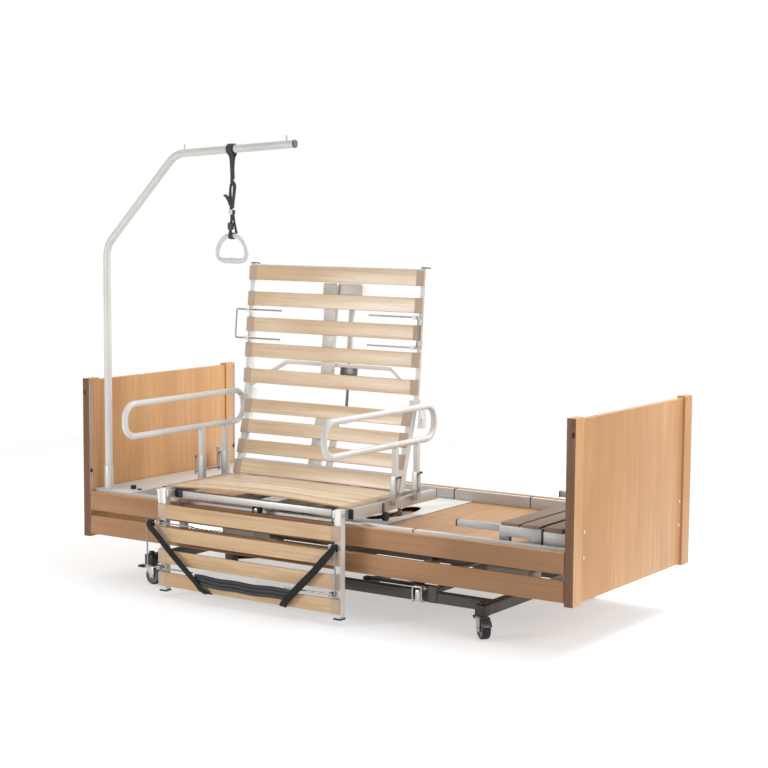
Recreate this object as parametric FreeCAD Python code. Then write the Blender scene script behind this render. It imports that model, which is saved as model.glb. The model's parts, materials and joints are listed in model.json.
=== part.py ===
import FreeCAD, Part
import math
import os
from FreeCAD import Vector

# Adjustable care bed with a turning seat unit, in the chair position.
# Millimetres.  +X towards the foot end, -Y towards the side the sitter faces, +Z up.
# Every function below works in the bed's own frame, whose origin is on the floor under the
# middle of the two boards.  write() moves each node by ORIGIN_SHIFT, so that the finished
# part has its origin on the floor under the middle of its bounding box.

# ---- driving dimensions -----------------------------------------------------------------
ORIGIN_SHIFT = Vector(0, 130.75, 0)

BED_LENGTH = 2355.0          # outer face of headboard to outer face of footboard
BED_WIDTH = 990.0
BOARD_TOP = 860.0
BOARD_BOTTOM = 182.0
POST_THICK = 36.0            # along the bed
POST_WIDTH = 66.0            # across the bed

RAIL_THICK = 22.0
RAIL_HEIGHT = 80.0
RAIL_UPPER_Z = 297.0
RAIL_LOWER_Z = 194.0
REAR_RAILS_UP = 10.0         # the rear rails stand this much higher than the front ones

PLATFORM_TOP = 385.0         # top of the platform's side members
DECK_TOP = 338.0
FRAME_BOTTOM = 303.0
SIDE_IN = 440.0              # inner face of a side member, from the middle
SIDE_OUT = 465.0

BASE_HEAD_X = -860.0         # middle of the head-end cross tube
BASE_FOOT_X = 763.0
BASE_TUBE = 40.0
BASE_BOTTOM = 85.0
BASE_TUBE_Y = 330.0          # middle of a longitudinal tube
CASTER_Y = 420.0
WHEEL_R = 37.5

SCISSOR_LENGTH = 900.0
SCISSOR_X = -500.0           # fixed pivots of both pairs of legs
SCISSOR_LOW_Z = 145.0
SCISSOR_HIGH_Z = 275.0
SCISSOR_OUTER_Y = 285.0
SCISSOR_INNER_Y = 255.0

SEAT_X = -222.0              # middle of the seat unit, and the turntable's axis
HALF_SLATS = 452.0           # middle to the end of a slat
SEAT_SIDE_IN = 454.0         # middle to the inner face of a seat side member
SEAT_SIDE_OUT = 476.0
SEAT_TUBE_Z = 408.0
SEAT_TUBE_TOP = 448.0

BACK_PIVOT = Vector(0, -123, 430)
LOWER_LEAN = 16.0            # degrees behind upright
UPPER_LEAN = 5.2
LOWER_BACK_LENGTH = 384.0    # pivot to the mid-back hinge
UPPER_BACK_LENGTH = 555.0    # mid-back hinge to the top
HALF_LOWER_BACK = 423.0      # middle to the outer face of a lower back member
HALF_UPPER_BACK = 445.4      # the upper members stand just outside the lower ones
LEG_PIVOT = Vector(0, -566, 430)
LEG_BOTTOM = 28.0

MEMBER = 30.0                # depth of the seat unit's folding frames
BACK_MEMBER = 22.0           # width of a back member
SLAT_THICK = 8.0
HOLDER_THICK = 12.0
HOLDER_LENGTH = 38.0
SLAT_CROWN = 9.0
SEAT_CROWNS = (14.0, 14.0, 12.0, 10.0, 8.0)
WALL = 2.0                   # wall of every steel tube
WIRE_R = 3.25                # mattress retainer wire

POLE_X = -1082.0
POLE_Y = -440.0
REAR_SLEEVE_Y = 313.0
POLE_R = 16.0
SLEEVE_R = 19.0
SLEEVE_BORE_R = 16.5
SLEEVE_HEIGHT = 100.0

ARMREST_TUBE_R = 12.5
ARMREST_OFFSET = 490.0       # middle of the seat unit to an armrest's tube
ARMREST_POSTS_Y = (-267.0, -111.0)
SOCKET = 26.0
LOCK_Z = 520.0
POST = 20.0

CLEAR = 0.3                  # running clearance of a pivot

X_AXIS = Vector(1, 0, 0)
Y_AXIS = Vector(0, 1, 0)
Z_AXIS = Vector(0, 0, 1)
BOARD_IN_X = BED_LENGTH / 2 - POST_THICK
PLATE_TOP = PLATFORM_TOP + 3
MID_HINGE = BACK_PIVOT + Vector(0, math.sin(math.radians(LOWER_LEAN)),
                                math.cos(math.radians(LOWER_LEAN))) * LOWER_BACK_LENGTH


# ---- helpers ----------------------------------------------------------------------------
def box(x0, x1, y0, y1, z0, z1):
    """A block between two corners, given in any order."""
    low = Vector(min(x0, x1), min(y0, y1), min(z0, z1))
    size = (abs(x1 - x0), abs(y1 - y0), abs(z1 - z0))
    return Part.makeBox(*size, low)


def rounded(solid, radius, axis=None):
    """Rounds a block's edges: all of them, or those along one axis."""
    edges = solid.Edges
    if axis is not None:
        edges = [e for e in edges if abs(abs(e.tangentAt(e.FirstParameter).dot(axis)) - 1) < 1e-6]
    return solid.makeFillet(radius, edges)


def cylinder(start, axis, radius, length):
    return Part.makeCylinder(radius, length, start, axis)


def cylinder_x(x0, x1, y, z, radius):
    return cylinder(Vector(min(x0, x1), y, z), X_AXIS, radius, abs(x1 - x0))


def cylinder_y(y0, y1, x, z, radius):
    return cylinder(Vector(x, min(y0, y1), z), Y_AXIS, radius, abs(y1 - y0))


def cylinder_z(z0, z1, x, y, radius):
    return cylinder(Vector(x, y, min(z0, z1)), Z_AXIS, radius, abs(z1 - z0))


def hollow_box(x0, x1, y0, y1, z0, z1, axis):
    """A rectangular tube whose open ends face along axis, one of 'x', 'y' or 'z'."""
    inset = {name: 0.0 if name == axis else WALL for name in "xyz"}
    inner = box(x0 + inset["x"], x1 - inset["x"], y0 + inset["y"], y1 - inset["y"],
                z0 + inset["z"], z1 - inset["z"])
    return box(x0, x1, y0, y1, z0, z1).cut(inner)


def rounded_path(points, radius):
    """Straight runs joined by tangent arcs of one radius."""
    edges = []
    start = points[0]
    for before, corner, after in zip(points, points[1:], points[2:]):
        into = (corner - before).normalize()
        out = (after - corner).normalize()
        half = into.getAngle(out) / 2
        reach = radius * math.tan(half)
        arc_start = corner - into * reach
        arc_end = corner + out * reach
        inward = (out - into).normalize()
        middle = corner + inward * (radius / math.cos(half) - radius)
        edges.append(Part.LineSegment(start, arc_start).toShape())
        edges.append(Part.Arc(arc_start, middle, arc_end).toShape())
        start = arc_end
    edges.append(Part.LineSegment(start, points[-1]).toShape())
    return edges


def rod_along(edges, radius):
    """A round bar swept along a chain of edges."""
    start = edges[0].valueAt(edges[0].FirstParameter)
    direction = edges[0].tangentAt(edges[0].FirstParameter)
    profile = Part.Wire(Part.makeCircle(radius, start, direction))
    return Part.Wire(edges).makePipeShell([profile], True, False)


def bent_rod(points, bend, radius):
    return rod_along(rounded_path(points, bend), radius)


def bent_tube(points, bend, radius):
    """A round tube with open ends."""
    outer = bent_rod(points, bend, radius)
    return outer.cut(bent_rod(points, bend, radius - WALL))


def ring(centre, axis, outer, inner, length):
    return cylinder(centre, axis, outer, length).cut(cylinder(centre, axis, inner, length))


def lean(solids, pivot, degrees):
    """Places solids drawn upright about the origin on a pivot across the bed, leaning back."""
    placed = []
    for solid in solids:
        moved = solid.copy()
        moved.rotate(Vector(0, 0, 0), X_AXIS, -degrees)
        moved.translate(pivot)
        placed.append(moved)
    return placed


def across(solid):
    """The same piece on the other side of the bed's middle plane."""
    return solid.mirror(Vector(0, 0, 0), Y_AXIS)


def other_side(solid):
    """The same piece on the other side of the seat unit's middle plane."""
    return solid.mirror(Vector(SEAT_X, 0, 0), X_AXIS)


def both_sides(solids):
    return solids + [other_side(s) for s in solids]


def write(node, solids):
    """Writes one node, made of one or more separate solids."""
    pieces = []
    for solid in solids:
        pieces.extend(solid.Solids)
    shape = Part.makeCompound(pieces) if len(pieces) > 1 else pieces[0]
    shape.translate(ORIGIN_SHIFT)
    shape.exportStep("parts/" + node + ".step")


# ---- slats ------------------------------------------------------------------------------
def crowned_slat(v0, width, back, crown, half):
    """A springy slat bowed towards -Y, from v0 to v0 + width up, half to either side.

    back is the y of its rear face at the ends; the middle stands crown further out.
    """
    outline = []
    for depth in (back, back - SLAT_THICK):
        left = Vector(SEAT_X - half, depth, v0)
        middle = Vector(SEAT_X, depth - crown, v0)
        right = Vector(SEAT_X + half, depth, v0)
        outline.append(Part.Arc(left, middle, right).toShape())
    ends = [Part.LineSegment(outline[0].valueAt(p), outline[1].valueAt(q)).toShape()
            for p, q in ((outline[0].FirstParameter, outline[1].FirstParameter),
                         (outline[0].LastParameter, outline[1].LastParameter))]
    face = Part.Face(Part.Wire(Part.__sortEdges__(outline + ends)))
    return face.extrude(Vector(0, 0, width))


def slat_row(starts, width, back, crown, half=HALF_SLATS):
    """Slats with a slotted pocket round each end, cut so that the two only touch."""
    solids = []
    for v0 in starts:
        slat = crowned_slat(v0, width, back, crown, half - 2)
        pocket = box(SEAT_X + half - HOLDER_LENGTH, SEAT_X + half,
                     back + 2, back + 2 - HOLDER_THICK, v0 - 1, v0 + width + 1)
        solids.append(slat)
        solids.extend(p.cut(slat) for p in both_sides([pocket]))
    return solids


# ---- undercarriage ----------------------------------------------------------------------
def base_frame():
    top = BASE_BOTTOM + BASE_TUBE
    half = BASE_TUBE / 2
    solids = []
    for x in (BASE_HEAD_X, BASE_FOOT_X):
        solids.append(hollow_box(x - half, x + half, -398, 398, BASE_BOTTOM, top, "y"))
        for side in (1, -1):
            block = box(x - 22, x + 22, side * 398, side * 442, BASE_BOTTOM, top + 2)
            knob = cylinder_z(top + 2, top + 14, x, side * CASTER_Y, 12)
            solids.append(rounded(block, 4, Z_AXIS).fuse(knob))
    for side in (1, -1):
        y = side * BASE_TUBE_Y
        solids.append(hollow_box(BASE_HEAD_X + half, BASE_FOOT_X - half, y - half, y + half,
                                 BASE_BOTTOM, top, "x"))
        solids.append(box(SCISSOR_X - 20, SCISSOR_X + 20, side * 310, side * 350, top, top + 40))
        solids.append(box(120, 460, side * 240, side * 270, top - 8, top + 2))
    for x in (140, 440):
        solids.append(hollow_box(x - 15, x + 15, -310, 310, top - 28, top - 8, "y"))
    shaft = cylinder_y(-310, 310, SCISSOR_X, SCISSOR_LOW_Z, 12)
    solids.append(shaft)
    return solids


def base_clips():
    """Transport clips: a bent strap over a block, bolted to a plate on each long tube."""
    solids = []
    block_z = BASE_BOTTOM + 2
    for side in (1, -1):
        face = side * (BASE_TUBE_Y + BASE_TUBE / 2)
        outer = face + side * 26
        solids.append(box(478, 520, face, face + side * 4, block_z - 2, block_z + 62))
        solids.append(box(432, 454, face, face + side * 20, block_z, block_z + 44))
        strap = box(420, 466, face, outer, block_z - 4, block_z + 60)
        solids.append(strap.cut(box(425, 461, face - side, outer + side,
                                    block_z - 6, block_z + 54)))
    return solids


def caster_centres():
    return {"head_front": (BASE_HEAD_X, -CASTER_Y), "head_rear": (BASE_HEAD_X, CASTER_Y),
            "foot_front": (BASE_FOOT_X, -CASTER_Y), "foot_rear": (BASE_FOOT_X, CASTER_Y)}


CASTER_TRAIL = 16.0
CASTERS_TURNED = {"head_front": 0.0, "head_rear": 25.0, "foot_front": -39.0, "foot_rear": 12.0}
AXLE_R = 5.0
WHEEL_WIDTH = 34.0
CHEEK_IN = WHEEL_WIDTH / 2 + 2
CHEEK_OUT = CHEEK_IN + 2.5
CROWN_Z = 78.0
PEDAL_Z = 72.0


def caster_fork(x, y):
    """Pressed fork: crown, two tapering cheeks, axle, fender and the ears for the pedal."""
    cx = x + CASTER_TRAIL
    crown = box(x - 20, x + 26, y - CHEEK_OUT, y + CHEEK_OUT, CROWN_Z, CROWN_Z + 3)
    plate = cylinder_z(CROWN_Z + 3, BASE_BOTTOM - 0.5, x, y, 20)
    outline = [Vector(x - 20, 0, CROWN_Z + 3), Vector(x + 26, 0, CROWN_Z + 3),
               Vector(cx + 11, 0, WHEEL_R), Vector(cx - 11, 0, WHEEL_R)]
    cheek_face = Part.Face(Part.makePolygon(outline + outline[:1]))
    body = crown.fuse(plate)
    for s in (1, -1):
        cheek = cheek_face.extrude(Vector(0, s * 2.5, 0))
        cheek.translate(Vector(0, y + s * CHEEK_IN, 0))
        eye = cylinder_y(y + s * CHEEK_IN, y + s * CHEEK_OUT, cx, WHEEL_R, 11)
        head = cylinder_y(y + s * CHEEK_OUT, y + s * (CHEEK_OUT + 2.5), cx, WHEEL_R, 7)
        ear = box(x - 34, x - 12, y + s * 6 - 2, y + s * 6 + 2, 66, CROWN_Z + 2)
        body = body.fuse([cheek, eye, head, ear])
    fender = cylinder_y(y - CHEEK_IN, y + CHEEK_IN, cx, WHEEL_R, WHEEL_R + 5)
    fender = fender.cut(cylinder_y(y - 40, y + 40, cx, WHEEL_R, WHEEL_R + 2.5))
    fender = fender.common(box(cx + 2, cx + 60, y - 40, y + 40, WHEEL_R + 14, 90))
    axle = cylinder_y(y - CHEEK_OUT, y + CHEEK_OUT, cx, WHEEL_R, AXLE_R)
    pin_hole = cylinder_y(y - 20, y + 20, x - 28, PEDAL_Z, 2 + CLEAR)
    return [body.fuse([fender, axle]).cut(pin_hole).removeSplitter()]


def caster_wheel(x, y):
    """Wheel with a rounded tread and a dished hub on each side."""
    cx = x + CASTER_TRAIL
    half = WHEEL_WIDTH / 2
    disc = cylinder_y(y - half, y + half, cx, WHEEL_R, WHEEL_R)
    disc = disc.makeFillet(7, [e for e in disc.Edges if e.Curve.TypeId == "Part::GeomCircle"])
    for start in (y - half, y + half - 3):
        disc = disc.cut(ring(Vector(cx, start, WHEEL_R), Y_AXIS, 25, 10, 3))
    return [disc.cut(cylinder_y(y - half, y + half, cx, WHEEL_R, AXLE_R + CLEAR))]


def brake_pedal(x, y):
    pad = rounded(box(x - 66, x - 36, y - 15, y + 15, 66, 74), 2.5, Z_AXIS)
    arm = box(x - 40, x - 25, y - 3.5, y + 3.5, 68, 76)
    pin = cylinder_y(y - 8, y + 8, x - 28, PEDAL_Z, 2)
    return [pad.fuse([arm, pin])]


def casters():
    for name, (x, y) in caster_centres().items():
        for node, build in (("caster_fork_", caster_fork), ("caster_wheel_", caster_wheel),
                            ("brake_pedal_", brake_pedal)):
            solids = build(x, y)
            for solid in solids:
                solid.rotate(Vector(x, y, 0), Z_AXIS, CASTERS_TURNED[name])
            write(node + name, solids)


# ---- lift -------------------------------------------------------------------------------
LEG_HALF = 17.4              # half the height of a scissor leg


def scissor_leg(x0, z0, x1, z1, y, width, bores):
    """One leg of a scissor pair: a flat tube between two pivots, with round ends."""
    length = math.hypot(x1 - x0, z1 - z0)
    rise = math.degrees(math.atan2(z1 - z0, x1 - x0))
    half = LEG_HALF
    leg = box(0, length, y - width / 2, y + width / 2, -half, half)
    for end in (0, length):
        leg = leg.fuse(cylinder_y(y - width / 2, y + width / 2, end, 0, half))
    for along, radius in bores:
        leg = leg.cut(cylinder_y(y - width, y + width, along, 0, radius))
    leg = leg.removeSplitter()
    leg.rotate(Vector(0, 0, 0), Y_AXIS, -rise)
    leg.translate(Vector(x0, 0, z0))
    return leg


SHAFT_R = 12.0
SCISSOR_REACH = math.sqrt(SCISSOR_LENGTH ** 2 - (SCISSOR_HIGH_Z - SCISSOR_LOW_Z) ** 2)
SCISSOR_FAR_X = SCISSOR_X + SCISSOR_REACH
SCISSOR_MID = (SCISSOR_X + SCISSOR_REACH / 2, (SCISSOR_LOW_Z + SCISSOR_HIGH_Z) / 2)


def scissor_outer():
    """Legs that turn on the base at the head end and carry the platform at the other."""
    solids = []
    for side in (1, -1):
        leg = scissor_leg(SCISSOR_X, SCISSOR_LOW_Z, SCISSOR_FAR_X, SCISSOR_HIGH_Z,
                          side * SCISSOR_OUTER_Y, 20, [(0, SHAFT_R + CLEAR)])
        pin = cylinder_y(side * 244, side * 275, SCISSOR_MID[0], SCISSOR_MID[1], 10)
        solids.append(leg.fuse(pin))
    solids.append(cylinder_y(-275, 275, SCISSOR_FAR_X, SCISSOR_HIGH_Z, 10))
    return solids


def scissor_inner():
    """Legs that carry the platform at the head end and roll on the base at the other."""
    solids = []
    for side in (1, -1):
        leg = scissor_leg(SCISSOR_FAR_X, SCISSOR_LOW_Z, SCISSOR_X, SCISSOR_HIGH_Z,
                          side * SCISSOR_INNER_Y, 19,
                          [(SCISSOR_LENGTH / 2, 10 + CLEAR), (SCISSOR_LENGTH, SHAFT_R + CLEAR)])
        solids.append(leg)
    inner_face = SCISSOR_INNER_Y - 9.5
    solids.append(cylinder_y(-inner_face, inner_face, SCISSOR_FAR_X, SCISSOR_LOW_Z, 10))
    return solids


ROD_R = 11.0


def lift_motor():
    """Motor and guide tube of the lift actuator, carried by the foot-end cross tube."""
    body = rounded(box(560, 742, -45, 45, 112, 190), 10, X_AXIS)
    guide = ring(Vector(478, 0, SCISSOR_LOW_Z), X_AXIS, 24, ROD_R + CLEAR, 82)
    bore = cylinder_x(478, 720, 0, SCISSOR_LOW_Z, ROD_R + CLEAR)
    bracket = box(742, 763, -30, 30, BASE_BOTTOM + BASE_TUBE, 180)
    return [body.cut(bore), guide, bracket]


def lift_rod():
    """Push rod with a slotted yoke round the lower scissor shaft."""
    x = SCISSOR_FAR_X
    yoke = box(x - 20, x + 42, -18, 18, SCISSOR_LOW_Z - 17, SCISSOR_LOW_Z + 17)
    slot = box(x - 10.8, x + 32, -20, 20, SCISSOR_LOW_Z - 10.8, SCISSOR_LOW_Z + 10.8)
    rod = cylinder_x(x + 42, 715, 0, SCISSOR_LOW_Z, ROD_R)
    return [yoke.cut(slot).fuse(rod)]


# ---- platform ---------------------------------------------------------------------------
def platform_frame():
    end = BOARD_IN_X
    solids = []
    for side in (1, -1):
        solids.append(hollow_box(-end, end, min(side * SIDE_IN, side * SIDE_OUT),
                                 max(side * SIDE_IN, side * SIDE_OUT),
                                 FRAME_BOTTOM, PLATFORM_TOP, "x"))
        solids.append(box(200, 440, side * 270, side * 300, 293.6, FRAME_BOTTOM))
        solids.append(box(SCISSOR_X - 20, SCISSOR_X + 20, side * 300, side * 318, 255,
                          FRAME_BOTTOM))
    for x in (SCISSOR_X, 220, 420, 1060):
        solids.append(hollow_box(x - 20, x + 20, -SIDE_IN, SIDE_IN, FRAME_BOTTOM,
                                 DECK_TOP - 10, "y"))
    solids.append(cylinder_y(-300, 300, SCISSOR_X, SCISSOR_HIGH_Z, SHAFT_R))
    solids.append(hollow_box(-end, -930, -SIDE_IN, SIDE_IN, FRAME_BOTTOM + 30, PLATFORM_TOP,
                             "y"))
    solids.append(box(-end, -930, -SIDE_OUT, SIDE_OUT, PLATFORM_TOP, PLATE_TOP))
    for y in (POLE_Y, REAR_SLEEVE_Y):
        sleeve = ring(Vector(POLE_X, y, PLATE_TOP), Z_AXIS, SLEEVE_R, SLEEVE_BORE_R,
                      SLEEVE_HEIGHT)
        solids.append(sleeve)
    return solids


def deck_panels():
    """Beech panels either side of the turntable plate, and a thin one hung below it."""
    head = box(-929, -642, -439, 439, DECK_TOP - 10, DECK_TOP)
    foot = box(202, BOARD_IN_X - 1, -439, 439, DECK_TOP - 10, DECK_TOP)
    tray = box(SCISSOR_X + 20, 200, -439, 439, 314, 320)
    return [head, foot, tray]


SLOT_R = 336.0
SLOT_WIDTH = 78.0
PLATE_Z = DECK_TOP
PLATE_THICK = 4.0


def arc_slot(centre, radius, width, start, stop, z0, z1):
    """A curved slot with round ends, for cutting."""
    sweep = stop - start
    outer = Part.makeCylinder(radius + width / 2, z1 - z0, Vector(0, 0, z0), Z_AXIS, sweep)
    inner = Part.makeCylinder(radius - width / 2, z1 - z0, Vector(0, 0, z0), Z_AXIS)
    band = outer.cut(inner)
    band.rotate(Vector(0, 0, 0), Z_AXIS, start)
    for angle in (start, stop):
        a = math.radians(angle)
        band = band.fuse(cylinder_z(z0, z1, radius * math.cos(a), radius * math.sin(a),
                                    width / 2))
    band.translate(centre)
    return band


def turntable_plate():
    plate = box(-640, 200, -SIDE_IN, SIDE_IN, PLATE_Z, PLATE_Z + PLATE_THICK)
    slot = arc_slot(Vector(SEAT_X, 0, 0), SLOT_R, SLOT_WIDTH, -24, 25,
                    PLATE_Z - 1, PLATE_Z + PLATE_THICK + 1)
    stiffener = ring(Vector(SEAT_X, 0, DECK_TOP - 14), Z_AXIS, 180, 150, 14)
    return [plate.cut(slot), stiffener]


def foot_section_frame():
    """Bracket with a window on each side, a docking stub and the foot slats' bearer."""
    solids = []
    for side in (1, -1):
        outer = side * 424
        inner = side * 400
        plate = box(832, 1008, outer, inner, 360, 436)
        window = box(872, 962, outer + side, inner - side, 374, 396)
        solids.append(plate.cut(window))
        solids.append(hollow_box(646, 832, min(side * 394, side * 418),
                                 max(side * 394, side * 418), 410, 434, "x"))
        solids.append(cylinder_y(outer, outer + side * 4, 985, 368, 7))
        solids.append(box(1016, BOARD_IN_X - 1, outer, inner, 360, 430))
        solids.append(box(840, 1000, outer, inner, DECK_TOP, 360))
        solids.append(box(1030, 1120, outer, inner, DECK_TOP, 360))
    solids.append(hollow_box(870, 900, -400, 400, 405, 436, "y"))
    return solids


def foot_slats():
    solids = []
    for x in (842, 928, 1022):
        slat = box(x, x + 74, -428, 428, 436 if x < 1000 else 430, 448)
        solids.append(slat)
    return solids


def platform_plastics():
    """Black caps, joint strips, the knob on the head plate, the control box and cord ends."""
    solids = []
    for side in (1, -1):
        y0 = side * 393
        y1 = side * 419
        solids.append(box(641, 646, y0, y1, 409, 435))
        solids.append(box(1008, 1016, side * 426, side * 398, 352, 438))
        for x in (106, 480):
            outer = box(x, x + 4, side * (SIDE_IN - 1.5), side * (SIDE_OUT + 1.5),
                        FRAME_BOTTOM - 1.5, PLATFORM_TOP + 1.5)
            inner = box(x - 1, x + 5, side * SIDE_IN, side * SIDE_OUT, FRAME_BOTTOM,
                        PLATFORM_TOP)
            below_deck = box(x - 1, x + 5, side * (SIDE_IN - 2), side * SIDE_IN,
                             FRAME_BOTTOM - 2, PLATE_Z + PLATE_THICK + 0.5)
            solids.append(outer.cut([inner, below_deck]))
    knob = cylinder_z(PLATE_TOP, PLATE_TOP + 16, -992, -385, 12)
    knob = knob.makeFillet(3, [e for e in knob.Edges if e.BoundBox.ZMin > PLATE_TOP + 15])
    solids.append(knob)
    solids.append(cylinder_z(PLATE_TOP, PLATE_TOP + 5, -952, -392, 9))
    control_box = rounded(box(-470, -300, -432, -330, 240, FRAME_BOTTOM), 6, Z_AXIS)
    solids.append(control_box)
    gland = cylinder_x(-482, -470, CORD_Y, CORD_Z, 7)
    socket = box(-702, -672, CORD_Y - 12, CORD_Y + 12, CORD_Z - 14, FRAME_BOTTOM)
    hanger = box(-702, -672, CORD_Y - 12, -SIDE_OUT, FRAME_BOTTOM - 6, FRAME_BOTTOM)
    solids.extend([gland, socket.fuse(hanger)])
    return solids


CORD_Y = -415.0
CORD_Z = 256.0
CORD_R = 3.0
COIL_R = 11.0
COIL_START = -638.0
COIL_STOP = -500.0


def coiled_cable():
    """Curly lead between the control box and its socket: a coil with a short tail each side."""
    tail_a = cylinder_x(-672, COIL_START, CORD_Y, CORD_Z, CORD_R)
    coil = cylinder_x(COIL_START, COIL_STOP, CORD_Y, CORD_Z, COIL_R)
    tail_b = cylinder_x(COIL_STOP, -482, CORD_Y, CORD_Z, CORD_R)
    return [tail_a, coil, tail_b]


# ---- boards and rails -------------------------------------------------------------------
CHANNEL_Y = 484.0            # middle of the rail channel
CHANNEL_WIDTH = 14.0
CHANNEL_DEPTH = 14.0
CHANNEL_WALL = 1.5
CHANNEL_BOTTOM = 190.0
CHANNEL_TOP = 845.0
BUTTON_Z = 800.0
BUTTON_SIDE = 9.0
BUTTON_DEPTH = 11.0
BUTTON_TRAVEL = 4.0
BUTTON_PROUD = 1.0


def board(end):
    """Headboard (end=-1) or footboard (end=1): a panel between two posts with caps."""
    outer = end * BED_LENGTH / 2
    inner = end * BOARD_IN_X
    solids = []
    for side in (1, -1):
        y_out = side * BED_WIDTH / 2
        y_in = side * (BED_WIDTH / 2 - POST_WIDTH)
        post = rounded(box(outer, inner, y_out, y_in, BOARD_BOTTOM, BOARD_TOP), 2, Z_AXIS)
        groove = box(inner - end, inner + end * CHANNEL_DEPTH,
                     side * CHANNEL_Y - CHANNEL_WIDTH / 2, side * CHANNEL_Y + CHANNEL_WIDTH / 2,
                     CHANNEL_BOTTOM, CHANNEL_TOP)
        pocket = button_block(end, side, BUTTON_DEPTH + BUTTON_TRAVEL + 0.5,
                              BUTTON_SIDE + CLEAR * 2)
        solids.append(post.cut(groove).cut(pocket))
    panel_half = BED_WIDTH / 2 - POST_WIDTH
    panel = box(outer - end * 8, inner + end * 6, -panel_half, panel_half,
                BOARD_BOTTOM + 6, BOARD_TOP - 8)
    solids.append(rounded(panel, 1.5, Y_AXIS))
    return solids


def button_block(end, side, depth, width):
    """The square release button in a board's edge, or the pocket it sits in."""
    y = side * BED_WIDTH / 2
    x = end * (BED_LENGTH / 2 - POST_THICK / 2 + 8)
    return box(x - width / 2, x + width / 2, y + side * BUTTON_PROUD, y - side * depth,
               BUTTON_Z - width, BUTTON_Z + width)


def board_hardware():
    """Aluminium channels in the posts and the screws in both boards' outer faces."""
    solids = []
    for end in (1, -1):
        inner = end * BOARD_IN_X
        for side in (1, -1):
            y = side * CHANNEL_Y
            half = CHANNEL_WIDTH / 2
            for z0, z1 in ((CHANNEL_BOTTOM, 457), (473, CHANNEL_TOP)):
                outer = box(inner, inner + end * CHANNEL_DEPTH, y - half, y + half, z0, z1)
                open_space = box(inner - end, inner + end * (CHANNEL_DEPTH - CHANNEL_WALL),
                                 y - half + CHANNEL_WALL, y + half - CHANNEL_WALL, z0, z1)
                solids.append(outer.cut(open_space))
            for z in (348, 443):
                face = end * (BED_LENGTH / 2 - 8)
                head = cylinder_x(face, face + end * 3, side * 406, z, 6)
                solids.append(head)
    return solids


def release_button(end, side):
    return [rounded(button_block(end, side, BUTTON_DEPTH, BUTTON_SIDE), 1.5, Y_AXIS)]


def rail(side, z0):
    """A side rail with rounded edges and a sliding tongue in the channel at each end."""
    y_out = side * BED_WIDTH / 2
    y_in = y_out - side * RAIL_THICK
    end = BOARD_IN_X - 2
    bar = rounded(box(-end, end, y_out, y_in, z0, z0 + RAIL_HEIGHT), 7, X_AXIS)
    half = CHANNEL_WIDTH / 2 - CHANNEL_WALL - 0.5
    tongues = [box(s * end, s * (end + 2 + CHANNEL_DEPTH - CHANNEL_WALL - 1),
                   side * CHANNEL_Y - half, side * CHANNEL_Y + half, z0 + 12, z0 + 68)
               for s in (1, -1)]
    return [bar] + tongues


# ---- turning seat -----------------------------------------------------------------------
SEAT_FRONT_Y = -530.0
SEAT_REAR_Y = 60.0
LATCH_Y = -324.0
SEAT_SLAT_WIDTH = 75.0
SEAT_SLAT_PITCH = 80.0
SEAT_SLAT_REAR = SEAT_FRONT_Y - 4 + 4 * SEAT_SLAT_PITCH + SEAT_SLAT_WIDTH


def seat_frame():
    solids = []
    side_tube = hollow_box(SEAT_X + SEAT_SIDE_IN, SEAT_X + SEAT_SIDE_OUT, SEAT_FRONT_Y,
                           SEAT_REAR_Y, SEAT_TUBE_Z, SEAT_TUBE_TOP, "y")
    solids.extend(both_sides([side_tube]))
    left = SEAT_X - SEAT_SIDE_IN
    right = SEAT_X + SEAT_SIDE_IN
    solids.append(hollow_box(left, right, SEAT_FRONT_Y, SEAT_FRONT_Y + 30, 410, 436, "x"))
    solids.append(hollow_box(left, right, 20, 50, 408, 436, "x"))
    bearer = hollow_box(SEAT_X + 100, SEAT_X + 130, SEAT_FRONT_Y + 30, 20, 408, 436, "y")
    solids.extend(both_sides([bearer]))
    hub = box(SEAT_X - 130, SEAT_X + 130, -110, 110, 398, 408)
    solids.append(hub)
    solids.append(ring(Vector(SEAT_X, 0, 351), Z_AXIS, 110, 102, 47))
    solids.append(cylinder_z(PLATE_Z + PLATE_THICK + 0.5, 351, SEAT_X, 0, 175))
    shelf = box(SEAT_X + 430, SEAT_X + SEAT_SIDE_IN, SEAT_FRONT_Y, SEAT_SLAT_REAR - 4, 438, 444)
    solids.extend(both_sides([shelf]))
    lug = box(SEAT_X + HALF_SLATS - 42, SEAT_X + HALF_SLATS - 33, LEG_PIVOT.y - 12,
              SEAT_FRONT_Y, 414, 443)
    leg_pin = cylinder_x(SEAT_X + HALF_SLATS - 33, SEAT_X + HALF_SLATS + 0.5, LEG_PIVOT.y,
                         LEG_PIVOT.z, 6)
    leg_bolt = cylinder_x(SEAT_X + HALF_SLATS + 0.5, SEAT_X + HALF_SLATS + 5, LEG_PIVOT.y,
                          LEG_PIVOT.z, 9)
    back_pin = cylinder_x(SEAT_X + HALF_LOWER_BACK - BACK_MEMBER, SEAT_X + SEAT_SIDE_IN,
                          BACK_PIVOT.y, BACK_PIVOT.z, 8)
    solids.extend(both_sides([lug.fuse([leg_pin, leg_bolt]), back_pin]))
    for y in ARMREST_POSTS_Y:
        half = SOCKET / 2
        x = SEAT_X + ARMREST_OFFSET
        socket = box(x - half - 1, x + half - 1, y - half, y + half, 430, 545)
        hole = box(x - POST / 2 - CLEAR, x + POST / 2 + CLEAR, y - POST / 2 - CLEAR,
                   y + POST / 2 + CLEAR, 434, 546)
        lug = box(x + half - 1, x + half + 11, y - 2, y + 2, LOCK_Z - 52, LOCK_Z - 36)
        lug = lug.cut(cylinder_y(y - 3, y + 3, x + half + 5, LOCK_Z - 44, 3 + CLEAR))
        solids.extend(both_sides([socket.cut(hole), lug]))
    return solids


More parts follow.
